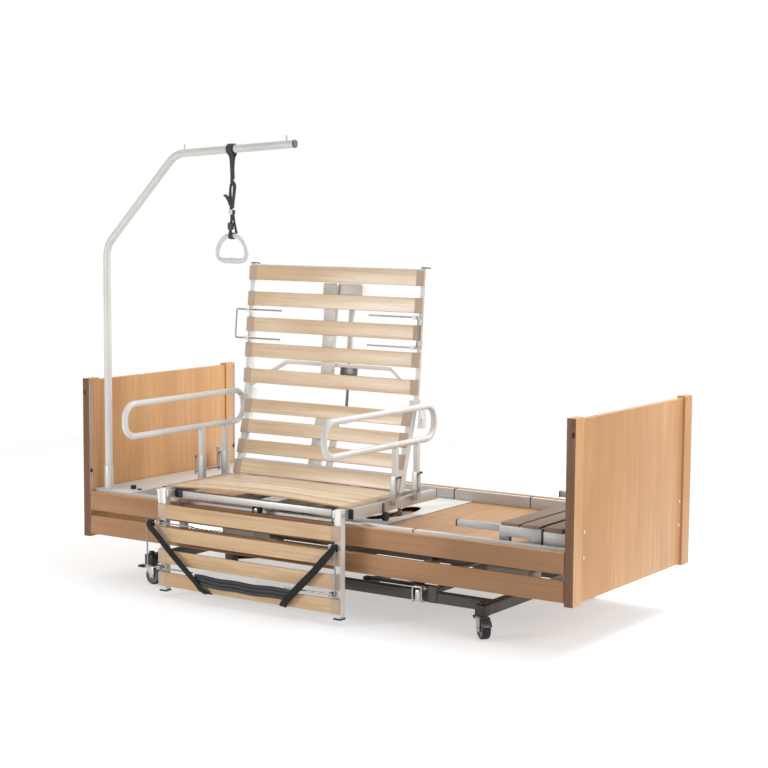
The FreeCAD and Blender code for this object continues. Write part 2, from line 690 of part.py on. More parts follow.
def seat_slats():
    """Five crowned slats nearly edge to edge, with their end pockets."""
    solids = []
    for i, crown in enumerate(SEAT_CROWNS):
        for solid in slat_row([i * SEAT_SLAT_PITCH], SEAT_SLAT_WIDTH, 0, crown):
            solid.rotate(Vector(0, 0, 0), X_AXIS, -90)
            solid.translate(Vector(0, SEAT_FRONT_Y - 4, 446))
            solids.append(solid)
    return solids


def seat_trim():
    """Black caps and corner blocks, the roller that locks the turntable, the label strip."""
    solids = []
    cap = box(SEAT_X + SEAT_SIDE_IN, SEAT_X + SEAT_SIDE_OUT, SEAT_FRONT_Y - 4, SEAT_FRONT_Y,
              SEAT_TUBE_Z, SEAT_TUBE_TOP)
    rear_cap = cap.copy()
    rear_cap.translate(Vector(0, SEAT_REAR_Y - SEAT_FRONT_Y + 4, 0))
    corner = box(SEAT_X + HALF_SLATS - 76, SEAT_X + HALF_SLATS - 43, SEAT_FRONT_Y - 5,
                 SEAT_FRONT_Y, 408, 440)
    solids.extend(both_sides([cap, rear_cap, corner]))
    x = SEAT_X + SLOT_R
    arm = box(SEAT_X + 130, x + 16, -16, 16, 408, 414)
    post = cylinder_z(330, 408, x, 0, 7)
    roller = cylinder_z(331, 350, x, 0, 15).cut(cylinder_z(330, 351, x, 0, 7))
    solids.extend([arm, post, roller])
    x = SEAT_X + SEAT_SIDE_OUT
    pin = cylinder_z(376, 452, x + 7, LATCH_Y, 3.5)
    knob = cylinder_x(x + 1, x + 15, LATCH_Y, 392, 18).cut(cylinder_z(370, 412, x + 7, LATCH_Y, 3.5))
    latch_plate = box(x, x + 5, LATCH_Y - 9, LATCH_Y + 9, 414, 444)
    solids.extend([pin, knob, latch_plate.cut(pin)])
    front = SEAT_FRONT_Y - 14
    corners = [(-722, 436), (-680, 436), (-684, 306), (-704, 306)]
    wire = Part.makePolygon([Vector(px, front, pz) for px, pz in corners + corners[:1]])
    solids.append(Part.Face(wire).extrude(Vector(0, 1.5, 0)))
    solids.append(box(-700, -682, front + 1.5, SEAT_FRONT_Y - 4, 428, 436))
    return solids


def leg_motor():
    """Actuator of the leg rest under the seat, with its front fork."""
    body = rounded(box(SEAT_X - 60, SEAT_X + 60, -330, -130, 356, 396), 8, Y_AXIS)
    tube = cylinder_y(-436, -330, SEAT_X, 376, 15)
    fork = [box(SEAT_X + s * 10, SEAT_X + s * 18, -528, -503, 384, 410) for s in (1, -1)]
    bolt = cylinder_y(-528, -512, SEAT_X, 394, 9)
    hanger = box(SEAT_X - 40, SEAT_X + 40, -250, -190, 396, 408)
    straps = [box(SEAT_X + s * 40, SEAT_X + s * 102, -250, -190, 400, 408) for s in (1, -1)]
    return [body, tube, bolt, hanger] + fork + straps


# ---- leg rest ---------------------------------------------------------------------------
LEG_SLAT_WIDTH = 57.0
LEG_SLAT_PITCH = 93.3
LEG_SLAT_BOTTOM = 48.0
RETAINER_OUT = 62.0
RETAINER_REACH = 240.0
CLAMP_INSETS = ((-1, 3.0), (1, 20.0))    # side, gap from a member's outer face to a clamp


def upright(solids, pivot):
    """Solids drawn about a pivot, placed without any lean."""
    return lean(solids, pivot, 0)


def leg_frame():
    low = LEG_BOTTOM - LEG_PIVOT.z
    half = MEMBER / 2
    inner = HALF_SLATS - MEMBER
    solids = []
    member = box(SEAT_X + inner, SEAT_X + HALF_SLATS, -half, half, low, 18)
    member = member.cut(box(SEAT_X + inner + WALL, SEAT_X + HALF_SLATS - WALL, -half + WALL,
                            half - WALL, low, -30))
    member = member.cut(cylinder_x(SEAT_X + inner - 1, SEAT_X + HALF_SLATS + 1, 0, 0,
                                   6 + CLEAR))
    solids.extend(both_sides([member]))
    for z in (low + 20, -80):
        solids.append(hollow_box(SEAT_X - inner, SEAT_X + inner, -12, 12, z, z + 22, "x"))
    foot = box(SEAT_X + inner - 2, SEAT_X + HALF_SLATS + 2, -half - 2, half + 2, low - 6, low)
    solids.extend(both_sides([foot]))
    solids.extend(wire_clamps(LEG_WIRES, HALF_SLATS))
    return upright(solids, LEG_PIVOT)


def leg_slats():
    starts = [LEG_SLAT_BOTTOM - LEG_PIVOT.z + i * LEG_SLAT_PITCH for i in range(4)]
    return upright(slat_row(starts, LEG_SLAT_WIDTH, -17, SLAT_CROWN), LEG_PIVOT)


FACE = -27.0                 # front plane of the slats' ends, from a folding frame's pivot
WIRE_PLANE = FACE - 9.0
LEG_WIRES = (-307.0, -120.0)     # heights of a retainer's two legs, from the leg pivot
BACK_WIRES = (229.0, 351.5)      # the same from the mid-back hinge
STRAP_FEET = (-404.0, -30.0)     # where the leg rest's straps meet its bottom tube


def wire_clamps(heights, half):
    """Bored blocks that guide the retainers' legs, on the front of the side members."""
    solids = []
    for side, inset in CLAMP_INSETS:
        outer = SEAT_X + side * (half - inset)
        inner = outer - side * 18
        for z in heights:
            block = box(outer, inner, -MEMBER / 2, WIRE_PLANE - WIRE_R - 3, z - 8, z + 8)
            bore = cylinder_x(outer + side, inner - side, WIRE_PLANE, z, WIRE_R + CLEAR)
            solids.append(block.cut(bore))
    return solids


def retainer(heights, side, half, pulled_out):
    """U-shaped mattress retainer: two legs through the clamps and a bow outside them."""
    bow = SEAT_X + side * (half - 12 + pulled_out)
    end = bow - side * RETAINER_REACH
    z0, z1 = heights
    corners = [Vector(end, WIRE_PLANE, z0), Vector(bow, WIRE_PLANE, z0),
               Vector(bow, WIRE_PLANE, z1), Vector(end, WIRE_PLANE, z1)]
    return [bent_rod(corners, 8, WIRE_R)]


def strap_between(x0, z0, x1, z1, front, width, thick):
    """A flat strap in the leg rest's plane between two points."""
    run = Vector(x1 - x0, 0, z1 - z0)
    normal = Vector(-run.z, 0, run.x).normalize() * (width / 2)
    ends = [Vector(x0, front, z0) + normal, Vector(x0, front, z0) - normal,
            Vector(x1, front, z1) - normal, Vector(x1, front, z1) + normal]
    face = Part.Face(Part.makePolygon(ends + ends[:1]))
    return face.extrude(Vector(0, thick, 0))


def leg_straps():
    """Two diagonal webbing straps and the padded band that joins them."""
    low = LEG_BOTTOM - LEG_PIVOT.z
    front = WIRE_PLANE - 18
    left_x, right_x = STRAP_FEET
    left = strap_between(-705, -145, left_x, low + 12, front, 26, 2.5)
    right = strap_between(226, -150, right_x, low + 12, front, 26, 2.5)
    band = rounded(box(-452, 16, front + 2.5, WIRE_PLANE - 5, -352, -306), 3, X_AXIS)
    wraps = [box(x - 16, x + 16, front, 18, low - 0.5, low + 3) for x in STRAP_FEET]
    tails = [box(x - 16, x + 16, 15, 18, low + 3, low + 60) for x in STRAP_FEET]
    return upright([left, right, band] + wraps + tails, LEG_PIVOT)


# ---- backrest ---------------------------------------------------------------------------
LOWER_SLAT_WIDTH = 58.0
LOWER_SLAT_PITCH = 88.2
UPPER_SLAT_WIDTH = 60.0
UPPER_SLAT_PITCH = 110.1
SPINE = (-290.0, -230.0)
ROD_X = -182.0
ROD_BACK = 62.0
LUG_V = 312.0                # height of the push rod's lug on the lower back
HINGE_PIN_R = 6.0
BACK_PIN_R = 8.0


def back_member(half, low, high, hollow_low, hollow_high):
    """Right-hand side member of one backrest section."""
    depth = MEMBER / 2
    outer = SEAT_X + half
    inner = outer - BACK_MEMBER
    member = box(inner, outer, -depth, depth, low, high)
    return member.cut(box(inner + WALL, outer - WALL, -depth + WALL, depth - WALL,
                          hollow_low, hollow_high))


def back_lower_frame():
    outer = SEAT_X + HALF_LOWER_BACK
    inner = outer - BACK_MEMBER
    cross = HALF_LOWER_BACK - BACK_MEMBER
    member = back_member(HALF_LOWER_BACK, -20, LOWER_BACK_LENGTH + 14, 20,
                         LOWER_BACK_LENGTH - 20)
    member = member.cut(cylinder_x(inner - 1, outer + 1, 0, 0, BACK_PIN_R + CLEAR))
    hinge_pin = cylinder_x(outer, SEAT_X + HALF_UPPER_BACK + 8, 0, LOWER_BACK_LENGTH,
                           HINGE_PIN_R)
    bolt_head = cylinder_x(SEAT_X + HALF_UPPER_BACK + 4.4, SEAT_X + HALF_UPPER_BACK + 8, 0,
                           LOWER_BACK_LENGTH, 10)
    solids = both_sides([member, hinge_pin.fuse(bolt_head)])
    for v in (72, 212):
        solids.append(hollow_box(SEAT_X - cross, SEAT_X + cross, -12, 12, v, v + 24, "x"))
    solids.append(box(SPINE[0], SPINE[1], 12, 28, 40, 340))
    solids.append(box(ROD_X - 16, ROD_X + 16, 12, 20, 90, LUG_V - 26))
    solids.append(box(ROD_X - 30, ROD_X + 30, 12, 40, 24, 90))
    for s in (1, -1):
        x = ROD_X + s * 13
        solids.append(box(x - 3, x + 3, 12, ROD_BACK + 12, LUG_V - 26, LUG_V + 10))
    solids.append(cylinder_x(ROD_X - 18, ROD_X + 18, ROD_BACK - 5, LUG_V, 5))
    return lean(solids, BACK_PIVOT, LOWER_LEAN)


def back_lower_slats():
    starts = [26.4 + i * LOWER_SLAT_PITCH for i in range(4)]
    row = slat_row(starts, LOWER_SLAT_WIDTH, -17, SLAT_CROWN, HALF_LOWER_BACK)
    return lean(row, BACK_PIVOT, LOWER_LEAN)


def back_upper_frame():
    outer = SEAT_X + HALF_UPPER_BACK
    inner = outer - BACK_MEMBER
    cross = HALF_UPPER_BACK - BACK_MEMBER
    top = UPPER_BACK_LENGTH
    member = back_member(HALF_UPPER_BACK, -14, top - 4, 16, top - 4)
    plate = box(outer, outer + 4, -12, 42, -95, 22)
    bolt = cylinder_x(outer + 4, outer + 8, 14, -60, 6)
    pin_hole = cylinder_x(inner - 1, outer + 5, 0, 0, HINGE_PIN_R + CLEAR)
    cap = box(inner - 2, outer + 2, -17, 17, top - 4, top)
    solids = both_sides([member.fuse([plate, bolt]).cut(pin_hole), cap])
    for v0 in (295, top - 32):
        solids.append(hollow_box(SEAT_X - cross, SEAT_X + cross, -12, 12, v0, v0 + 24, "x"))
    solids.append(box(SPINE[0], SPINE[1], 12, 28, 50, 385))
    yoke = [Vector(SEAT_X - cross, 4, 32), Vector(SEAT_X - 268, 42, 137),
            Vector(SEAT_X + 268, 42, 137), Vector(SEAT_X + cross, 4, 32)]
    tube = bent_rod(yoke, 30, 9)
    solids.append(tube.common(box(SEAT_X - cross, SEAT_X + cross, -100, 100, -100, 300)))
    solids.extend(wire_clamps(BACK_WIRES, HALF_UPPER_BACK))
    return lean(solids, MID_HINGE, UPPER_LEAN)


def back_upper_slats():
    starts = [39.3 + i * UPPER_SLAT_PITCH for i in range(5)]
    row = slat_row(starts, UPPER_SLAT_WIDTH, -17, SLAT_CROWN, HALF_UPPER_BACK)
    return lean(row, MID_HINGE, UPPER_LEAN)


def back_motor():
    """Backrest actuator: gearbox and motor behind the top slats, guide tube below."""
    housing = rounded(box(-312, -112, 28, 84, 381, 479), 8, Y_AXIS)
    bore = cylinder_z(180, 470, ROD_X, ROD_BACK, 6 + CLEAR)
    guide = ring(Vector(ROD_X, ROD_BACK, 200), Z_AXIS, 12, 6 + CLEAR, 181)
    mount = box(SPINE[0], SPINE[1], 12, 28, 385, 479)
    collar = box(ROD_X - 33, ROD_X + 37, ROD_BACK - 14, ROD_BACK + 14, 96, 130)
    collar = collar.cut([cylinder_x(ROD_X - 40, ROD_X + 40, 42, 137, 9),
                         cylinder_z(90, 140, ROD_X, ROD_BACK, 6 + CLEAR)])
    return lean([housing.cut(bore), guide, mount, collar], MID_HINGE, UPPER_LEAN)


def back_rod():
    """Dark push rod with a slotted eye on the lower back's lug."""
    eye_low = LUG_V - LOWER_BACK_LENGTH - 13
    rod = cylinder_z(eye_low + 26, 449, ROD_X, ROD_BACK, 6)
    return lean([rod], MID_HINGE, UPPER_LEAN) + rod_eye()


def rod_eye():
    """The rod's slotted end, in line with the rod and centred on the lug's pin."""
    pin = lug_pin_in_upper_frame()
    eye = box(ROD_X - 8, ROD_X + 8, ROD_BACK - 26, ROD_BACK + 16, pin.z - 12,
              LUG_V - LOWER_BACK_LENGTH + 13)
    slot = box(ROD_X - 9, ROD_X + 9, pin.y - 8, pin.y + 15, pin.z - 5.6, pin.z + 5.6)
    return lean([eye.cut(slot)], MID_HINGE, UPPER_LEAN)


def lug_pin_in_upper_frame():
    """Where the lower back's lug pin stands in the upper back's own upright frame."""
    point = Vector(0, ROD_BACK - 5, LUG_V - LOWER_BACK_LENGTH)
    angle = math.radians(LOWER_LEAN - UPPER_LEAN)
    return Vector(0, point.y * math.cos(angle) + point.z * math.sin(angle),
                  point.z * math.cos(angle) - point.y * math.sin(angle))


# ---- armrests ---------------------------------------------------------------------------
def armrest(side):
    """A long loop of round tube on two square posts."""
    x = SEAT_X + side * ARMREST_OFFSET
    front, rear, low, high = -745.0, 15.0, 668.0, 800.0
    middle = (front + rear) / 2
    corners = [Vector(x, middle, low), Vector(x, front, low), Vector(x, front, high),
               Vector(x, rear, high), Vector(x, rear, low), Vector(x, middle, low)]
    edges = rounded_path(corners, 58)
    loop = rod_along(edges, ARMREST_TUBE_R).cut(rod_along(edges, ARMREST_TUBE_R - WALL))
    half = POST / 2
    solids = [loop]
    for y in ARMREST_POSTS_Y:
        post = box(x - half, x + half, y - half, y + half, 436, low)
        solids.append(post.cut(cylinder_y(y - 20, y + 20, x, low, ARMREST_TUBE_R)))
    return solids


def armrest_lock(side):
    """Wire levers that lock both posts: cranked uprights with ball ends, joined by a link."""
    x = SEAT_X + side * (ARMREST_OFFSET + SOCKET / 2 + 5)
    front, rear = ARMREST_POSTS_Y
    lever_height = LOCK_Z + 20
    solids = [cylinder_y(front - 24, rear - 16, x, LOCK_Z - 44, 3)]
    for y in ARMREST_POSTS_Y:
        corners = [Vector(x, y - 20, LOCK_Z - 58), Vector(x, y - 20, lever_height),
                   Vector(x, y + 8, lever_height)]
        solids.append(bent_rod(corners, 8, 2.5))
        solids.append(Part.makeSphere(5, Vector(x, y + 8, lever_height)))
    return [solids[0].fuse(solids[1:])]


# ---- lifting pole -----------------------------------------------------------------------
ARM_START = Vector(-700, 0, 1803)
ARM_END = Vector(-98, 0, 1836)
STRAP_X = -408.0


def pole():
    y = POLE_Y
    points = [Vector(POLE_X, y, PLATE_TOP + 1), Vector(POLE_X, y, 1422),
              Vector(ARM_START.x, y, ARM_START.z), Vector(ARM_END.x, y, ARM_END.z)]
    tube = bent_tube(points, 110, POLE_R)
    along = (ARM_END - ARM_START).normalize()
    cap = cylinder(points[-1], along, POLE_R, 5)
    solids = [tube, cap]
    for x in (-652, -135):
        z = ARM_START.z + (x - ARM_START.x) * along.z / along.x
        stud = cylinder_z(z + POLE_R - 1, z + POLE_R + 20, x, y, 4)
        solids.append(stud.cut(rod_along(rounded_path(points, 110), POLE_R)))
    return solids


def arm_height(x):
    """Height of the middle of the pole's arm at x."""
    slope = (ARM_END.z - ARM_START.z) / (ARM_END.x - ARM_START.x)
    return ARM_START.z + (x - ARM_START.x) * slope


def strap_clasp():
    """Sleeve on the pole's arm that the strap hangs from."""
    tilt = math.degrees(math.atan2(ARM_END.z - ARM_START.z, ARM_END.x - ARM_START.x))
    sleeve = ring(Vector(-17, 0, 0), X_AXIS, POLE_R + 3, POLE_R + 0.5, 34)
    sleeve.rotate(Vector(0, 0, 0), Y_AXIS, -tilt)
    sleeve.translate(Vector(STRAP_X, POLE_Y, arm_height(STRAP_X)))
    return [sleeve]


def strap():
    """Webbing loop over the clasp, its two lower strands and the buckles."""
    y = POLE_Y
    arm_z = arm_height(STRAP_X)
    wrap = ring(Vector(STRAP_X - 14, y, arm_z), X_AXIS, POLE_R + 6.5, POLE_R + 4.3, 28)
    neck = box(STRAP_X - 14, STRAP_X + 14, y - 2, y + 2, 1690, arm_z - POLE_R - 5)
    left = box(STRAP_X - 14, STRAP_X - 2, y - 2, y + 2, 1580, 1690)
    right = box(STRAP_X + 1, STRAP_X + 15, y - 2, y + 2, 1580, 1690)
    slider = box(STRAP_X - 15, STRAP_X + 15, y - 5, y + 5, 1562, 1580)
    lower = box(STRAP_X - 11, STRAP_X + 11, y - 2, y + 2, 1528, 1562)
    buckle = rounded(box(STRAP_X - 18, STRAP_X + 18, y - 7, y + 7, 1502, 1528), 3, Y_AXIS)
    loop = ring(Vector(STRAP_X - 10, y, 1475), X_AXIS, 15, 12.5, 20)
    tongue = box(STRAP_X - 10, STRAP_X + 10, y - 2, y + 2, 1489, 1502)
    tail = box(-1, 1, y - 10, y + 10, 0, 52)
    tail.rotate(Vector(0, 0, 0), Y_AXIS, -32)
    tail.translate(Vector(STRAP_X - 16, 0, 1594))
    return [wrap, neck, left, right, slider, lower, buckle, loop.fuse(tongue), tail]


def handle():
    """Rounded triangular grab handle, wider at the waist, with a thicker grip at the bottom."""
    y = POLE_Y
    top, low = 1475.0, 1376.0
    right = [Vector(STRAP_X + dx, y, z)
             for dx, z in ((68, low), (74, low + 42), (34, top))]
    left = [Vector(2 * STRAP_X - p.x, y, p.z) for p in right]
    corners = [Vector(STRAP_X, y, low)] + left + right[::-1] + [Vector(STRAP_X, y, low)]
    triangle = rod_along(rounded_path(corners, 24), 9)
    grip = cylinder_x(STRAP_X - 44, STRAP_X + 44, y, low, 11.5)
    return [triangle.fuse(grip)]


# ---- all nodes --------------------------------------------------------------------------
def main():
    os.makedirs("parts", exist_ok=True)
    write("base_frame", base_frame() + base_clips())
    casters()
    write("lift_motor", lift_motor())
    write("lift_rod", lift_rod())
    write("scissor_outer", scissor_outer())
    write("scissor_inner", scissor_inner())

    write("platform_frame", platform_frame())
    write("deck_panels", deck_panels())
    write("turntable_plate", turntable_plate())
    write("foot_section_frame", foot_section_frame())
    write("foot_slats", foot_slats())
    write("platform_plastics", platform_plastics())
    write("coiled_cable", coiled_cable())

    write("headboard", board(-1))
    write("footboard", board(1))
    write("board_hardware", board_hardware())
    for side_name, side in (("front", -1), ("rear", 1)):
        for end_name, end in (("head", -1), ("foot", 1)):
            write("release_button_" + side_name + "_" + end_name, release_button(end, side))
        raised = REAR_RAILS_UP if side == 1 else 0.0
        write("rail_" + side_name + "_upper", rail(side, RAIL_UPPER_Z + raised))
        write("rail_" + side_name + "_lower", rail(side, RAIL_LOWER_Z + raised))

    write("seat_frame", seat_frame())
    write("seat_slats", seat_slats())
    write("seat_trim", seat_trim())
    write("leg_motor", leg_motor())
    write("leg_frame", leg_frame())
    write("leg_slats", leg_slats())
    write("leg_straps", leg_straps())
    write("leg_retainer_left", upright(retainer(LEG_WIRES, -1, HALF_SLATS, RETAINER_OUT), LEG_PIVOT))
    write("leg_retainer_right", upright(retainer(LEG_WIRES, 1, HALF_SLATS, 0), LEG_PIVOT))

    write("back_lower_frame", back_lower_frame())
    write("back_lower_slats", back_lower_slats())
    write("back_upper_frame", back_upper_frame())
    write("back_upper_slats", back_upper_slats())
    write("back_motor", back_motor())
    write("back_rod", back_rod())
    write("back_retainer_left",
          lean(retainer(BACK_WIRES, -1, HALF_UPPER_BACK, RETAINER_OUT), MID_HINGE, UPPER_LEAN))
    write("back_retainer_right", lean(retainer(BACK_WIRES, 1, HALF_UPPER_BACK, 0), MID_HINGE, UPPER_LEAN))

    for side_name, side in (("left", -1), ("right", 1)):
        write("armrest_" + side_name, armrest(side))
        write("armrest_lock_" + side_name, armrest_lock(side))
    write("pole", pole())
    write("strap_clasp", strap_clasp())
    write("strap", strap())
    write("handle", handle())


main()
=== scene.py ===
import json
import math

import bmesh
import bpy
from mathutils import Matrix, Vector


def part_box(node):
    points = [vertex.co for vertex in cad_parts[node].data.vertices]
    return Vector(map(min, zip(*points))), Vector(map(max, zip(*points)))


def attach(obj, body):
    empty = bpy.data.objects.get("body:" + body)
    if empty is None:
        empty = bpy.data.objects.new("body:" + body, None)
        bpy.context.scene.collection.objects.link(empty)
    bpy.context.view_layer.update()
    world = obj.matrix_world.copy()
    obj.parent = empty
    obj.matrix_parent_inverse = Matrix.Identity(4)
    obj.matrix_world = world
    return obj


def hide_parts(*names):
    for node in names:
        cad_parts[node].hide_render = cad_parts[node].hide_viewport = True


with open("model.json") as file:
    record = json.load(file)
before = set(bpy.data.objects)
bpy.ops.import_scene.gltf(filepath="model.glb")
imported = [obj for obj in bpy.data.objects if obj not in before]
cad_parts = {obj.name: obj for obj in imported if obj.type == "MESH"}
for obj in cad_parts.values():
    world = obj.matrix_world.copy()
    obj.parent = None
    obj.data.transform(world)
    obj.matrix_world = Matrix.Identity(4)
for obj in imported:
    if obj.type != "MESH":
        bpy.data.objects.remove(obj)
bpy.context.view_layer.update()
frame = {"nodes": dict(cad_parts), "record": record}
nodes = frame["nodes"]
body_of = {n: b for b, members in frame["record"]["behaviour"]["bodies"].items() for n in members}

# The model's own constants, in metres.  +X towards the foot end, -Y towards the side the sitter
# faces, +Z up.  The bed's own origin, under the middle of its boards, lies at y = SHIFT.
SHIFT = 0.13075
SEAT_X = -0.222              # middle of the seat unit
HALF_SEAT = 0.452            # middle to the end of a seat or leg rest slat
HALF_LOWER_BACK = 0.423
HALF_UPPER_BACK = 0.4454
LEG_PIVOT = Vector((0, -0.566 + SHIFT, 0.430))
BACK_PIVOT = Vector((0, -0.123 + SHIFT, 0.430))
LOWER_LEAN = math.radians(16.0)
UPPER_LEAN = math.radians(5.2)
LOWER_BACK = 0.384           # backrest pivot to the mid-back hinge
MID_HINGE = BACK_PIVOT + Vector((0, math.sin(LOWER_LEAN), math.cos(LOWER_LEAN))) * LOWER_BACK
POLE_Y = -0.440 + SHIFT
STRAP_X = -0.408             # where the grab strap hangs on the pole's arm

# ---- camera -----------------------------------------------------------------------------
SENSOR_WIDTH = 36.0          # mm
VIEW_WIDTH = 768.0           # the focal length and the shift are given in this width's units
FOCAL_LENGTH = 1769.0

camera = bpy.data.cameras.new("camera")
camera.sensor_width = SENSOR_WIDTH
camera.lens = FOCAL_LENGTH / VIEW_WIDTH * SENSOR_WIDTH
camera.shift_x = 9.41 / VIEW_WIDTH
camera.shift_y = -0.67 / VIEW_WIDTH
camera.clip_start, camera.clip_end = 0.1, 60.0
camera_object = bpy.data.objects.new("camera", camera)
camera_object.location = (4.0491, -5.9962 + SHIFT, 1.6085)
yaw, pitch, roll = (math.radians(a) for a in (34.1134, 5.8134, 0.3749))
camera_object.matrix_world = (Matrix.Translation(camera_object.location)
                              @ Matrix.Rotation(yaw, 4, "Z")
                              @ Matrix.Rotation(math.pi / 2 - pitch, 4, "X")
                              @ Matrix.Rotation(roll, 4, "Z"))
bpy.context.scene.collection.objects.link(camera_object)
bpy.context.scene.camera = camera_object
bpy.context.scene.view_settings.view_transform = "Standard"


# ---- material helpers -------------------------------------------------------------------
class Shader:
    """A material with one Principled shader and short calls for the nodes that feed it."""

    def __init__(self, name, colour=(0.8, 0.8, 0.8), **sockets):
        self.material = bpy.data.materials.new(name)
        self.material.use_nodes = True
        self.tree = self.material.node_tree
        self.bsdf = self.tree.nodes["Principled BSDF"]
        self.bsdf.inputs["Base Color"].default_value = (*colour, 1)
        for key, value in sockets.items():
            self.bsdf.inputs[key.replace("_", " ")].default_value = value
        self.coords = self.tree.nodes.new("ShaderNodeTexCoord").outputs["Object"]

    def node(self, kind, **settings):
        """A new shader node; settings are its properties or its sockets' values."""
        made = self.tree.nodes.new("ShaderNode" + kind)
        for key, value in settings.items():
            if hasattr(made, key):
                setattr(made, key, value)
            else:
                made.inputs[key.replace("_", " ")].default_value = value
        return made

    def link(self, source, target):
        self.tree.links.new(source, target)

    def stretched(self, scale, source=None):
        """Texture coordinates scaled per axis, from source or from object space."""
        mapping = self.node("Mapping", Scale=scale)
        self.link(source or self.coords, mapping.inputs["Vector"])
        return mapping.outputs["Vector"]

    def noise(self, scale, detail=2.0, stretch=(1, 1, 1), rough=0.5, distortion=0.0):
        made = self.node("TexNoise", Scale=scale, Detail=detail, Roughness=rough,
                         Distortion=distortion)
        self.link(self.stretched(stretch), made.inputs["Vector"])
        return made.outputs["Fac"]

    def ramp(self, source, stops):
        """A colour ramp through (position, colour or grey) stops."""
        made = self.node("ValToRGB")
        elements = made.color_ramp.elements
        while len(elements) < len(stops):
            elements.new(0.5)
        for element, (position, colour) in zip(elements, stops):
            element.position = position
            if isinstance(colour, (int, float)):
                colour = (colour, colour, colour)
            element.color = (*colour, 1)
        self.link(source, made.inputs["Fac"])
        return made.outputs["Color"]

    def mix(self, factor, a, b):
        """Colour between a and b; each argument is a socket, a number or a colour."""
        made = self.node("Mix", data_type="RGBA")
        for socket, value in zip((made.inputs[0], made.inputs[6], made.inputs[7]),
                                 (factor, a, b)):
            if isinstance(value, bpy.types.NodeSocket):
                self.link(value, socket)
            elif isinstance(value, (int, float)):
                socket.default_value = value
            else:
                socket.default_value = (*value, 1)
        return made.outputs[2]

    def math(self, operation, a, b=0.0):
        """The result of a math node on two sockets or numbers."""
        made = self.node("Math", operation=operation)
        for socket, value in zip(made.inputs, (a, b)):
            if isinstance(value, bpy.types.NodeSocket):
                self.link(value, socket)
            else:
                socket.default_value = value
        return made.outputs[0]

    def colour(self, source):
        """Base colour from a socket."""
        self.link(source, self.bsdf.inputs["Base Color"])
        return self

    def roughness(self, source, low, high):
        """Roughness between low and high, from a grey socket."""
        self.link(self.ramp(source, [(0.25, low), (0.75, high)]), self.bsdf.inputs["Roughness"])
        return self

    def bump(self, source, strength, distance):
        """Bumps from a height socket; distance is their depth in metres."""
        made = self.node("Bump", Strength=strength, Distance=distance)
        self.link(source, made.inputs["Height"])
        self.link(made.outputs["Normal"], self.bsdf.inputs["Normal"])
        return self


def along(axis, with_grain, across):
    """Texture stretch for a grain that runs along one axis."""
    return tuple(with_grain if a == axis else across for a in "xyz")


def wood(name, dark, light, axis, fleck=0.5, gloss=(0.34, 0.48), coat=0.12, figure=1.0):
    """Lacquered beech or birch: broad tone, streaks along the grain and short flecks."""
    s = Shader(name, light, Coat_Weight=coat, Coat_Roughness=0.22)
    tone = s.noise(1.6, 3, along(axis, 0.7, 3.0), 0.55, 0.4)
    streak = s.noise(9.0, 5, along(axis, 0.16, 9.0), 0.62, 0.25)
    cathedral = s.noise(2.6, 2, along(axis, 0.22, 2.4), 0.5, 1.6)
    rings = s.math("FRACT", s.math("MULTIPLY", cathedral, 7.0))
    ring_line = s.ramp(rings, [(0.0, 1.0), (0.14, 0.0), (0.86, 0.0), (1.0, 1.0)])
    flecks = s.noise(34.0, 2, along(axis, 0.30, 9.0), 0.7)
    body = s.mix(s.ramp(tone, [(0.38, 0.0), (0.62, 1.0)]), dark, light)
    deep = tuple(c * f for c, f in zip(dark, (0.86, 0.80, 0.74)))
    body = s.mix(s.math("MULTIPLY", s.ramp(streak, [(0.42, 0.0), (0.70, 1.0)]), 0.55 * figure),
                 body, deep)
    body = s.mix(s.math("MULTIPLY", ring_line, 0.16 * figure), body, deep)
    fleck_mask = s.ramp(flecks, [(0.60, 0.0), (0.72, 1.0)])
    brown = tuple(c * f for c, f in zip(dark, (0.62, 0.55, 0.48)))
    s.colour(s.mix(s.math("MULTIPLY", fleck_mask, fleck * 0.5), body, brown))
    s.roughness(streak, *gloss)
    return s.bump(s.math("ADD", streak, s.math("MULTIPLY", fleck_mask, -0.6)), 0.10, 0.0004)


def end_ply(name, dark, light):
    """Glued layers on the long edge of a bent slat, read from the edge's own UV map."""
    s = Shader(name, light, Roughness=0.55)
    uv = s.node("UVMap", uv_map="edge").outputs["UV"]
    wave = s.node("TexWave", Scale=1.0, Distortion=1.2, Detail=1.0, bands_direction="Y")
    s.link(s.stretched((6.0, 115.0, 1.0), uv), wave.inputs["Vector"])
    s.colour(s.ramp(wave.outputs["Fac"], [(0.25, dark), (0.6, light)]))
    return s.bump(wave.outputs["Fac"], 0.2, 0.0003)


def coated(name, colour, rough=0.36, peel=0.015, metallic=0.0, grime=0.06):
    """Powder coat: faint orange peel and a little grime."""
    s = Shader(name, colour, Metallic=metallic, Coat_Weight=0.10, Coat_Roughness=0.25)
    cloud = s.noise(7.0, 4)
    dull = tuple(c * (1 - grime * 2.2) for c in colour)
    s.colour(s.mix(s.ramp(cloud, [(0.3, 0.0), (0.75, 1.0)]), colour, dull))
    s.roughness(s.noise(14.0, 3), rough - 0.06, rough + 0.08)
    return s.bump(s.noise(160.0, 1), peel, 0.0003)


def brushed(name, colour, axis, rough=0.36, metallic=0.85):
    """Drawn or extruded metal with hairlines along its length."""
    s = Shader(name, colour, Metallic=metallic)
    hair = s.noise(60.0, 3, along(axis, 0.03, 6.0), 0.6)
    dull = tuple(c * 0.86 for c in colour)
    s.colour(s.mix(s.ramp(hair, [(0.3, 0.0), (0.7, 1.0)]), colour, dull))
    s.roughness(hair, rough - 0.07, rough + 0.10)
    return s.bump(hair, 0.06, 0.0002)


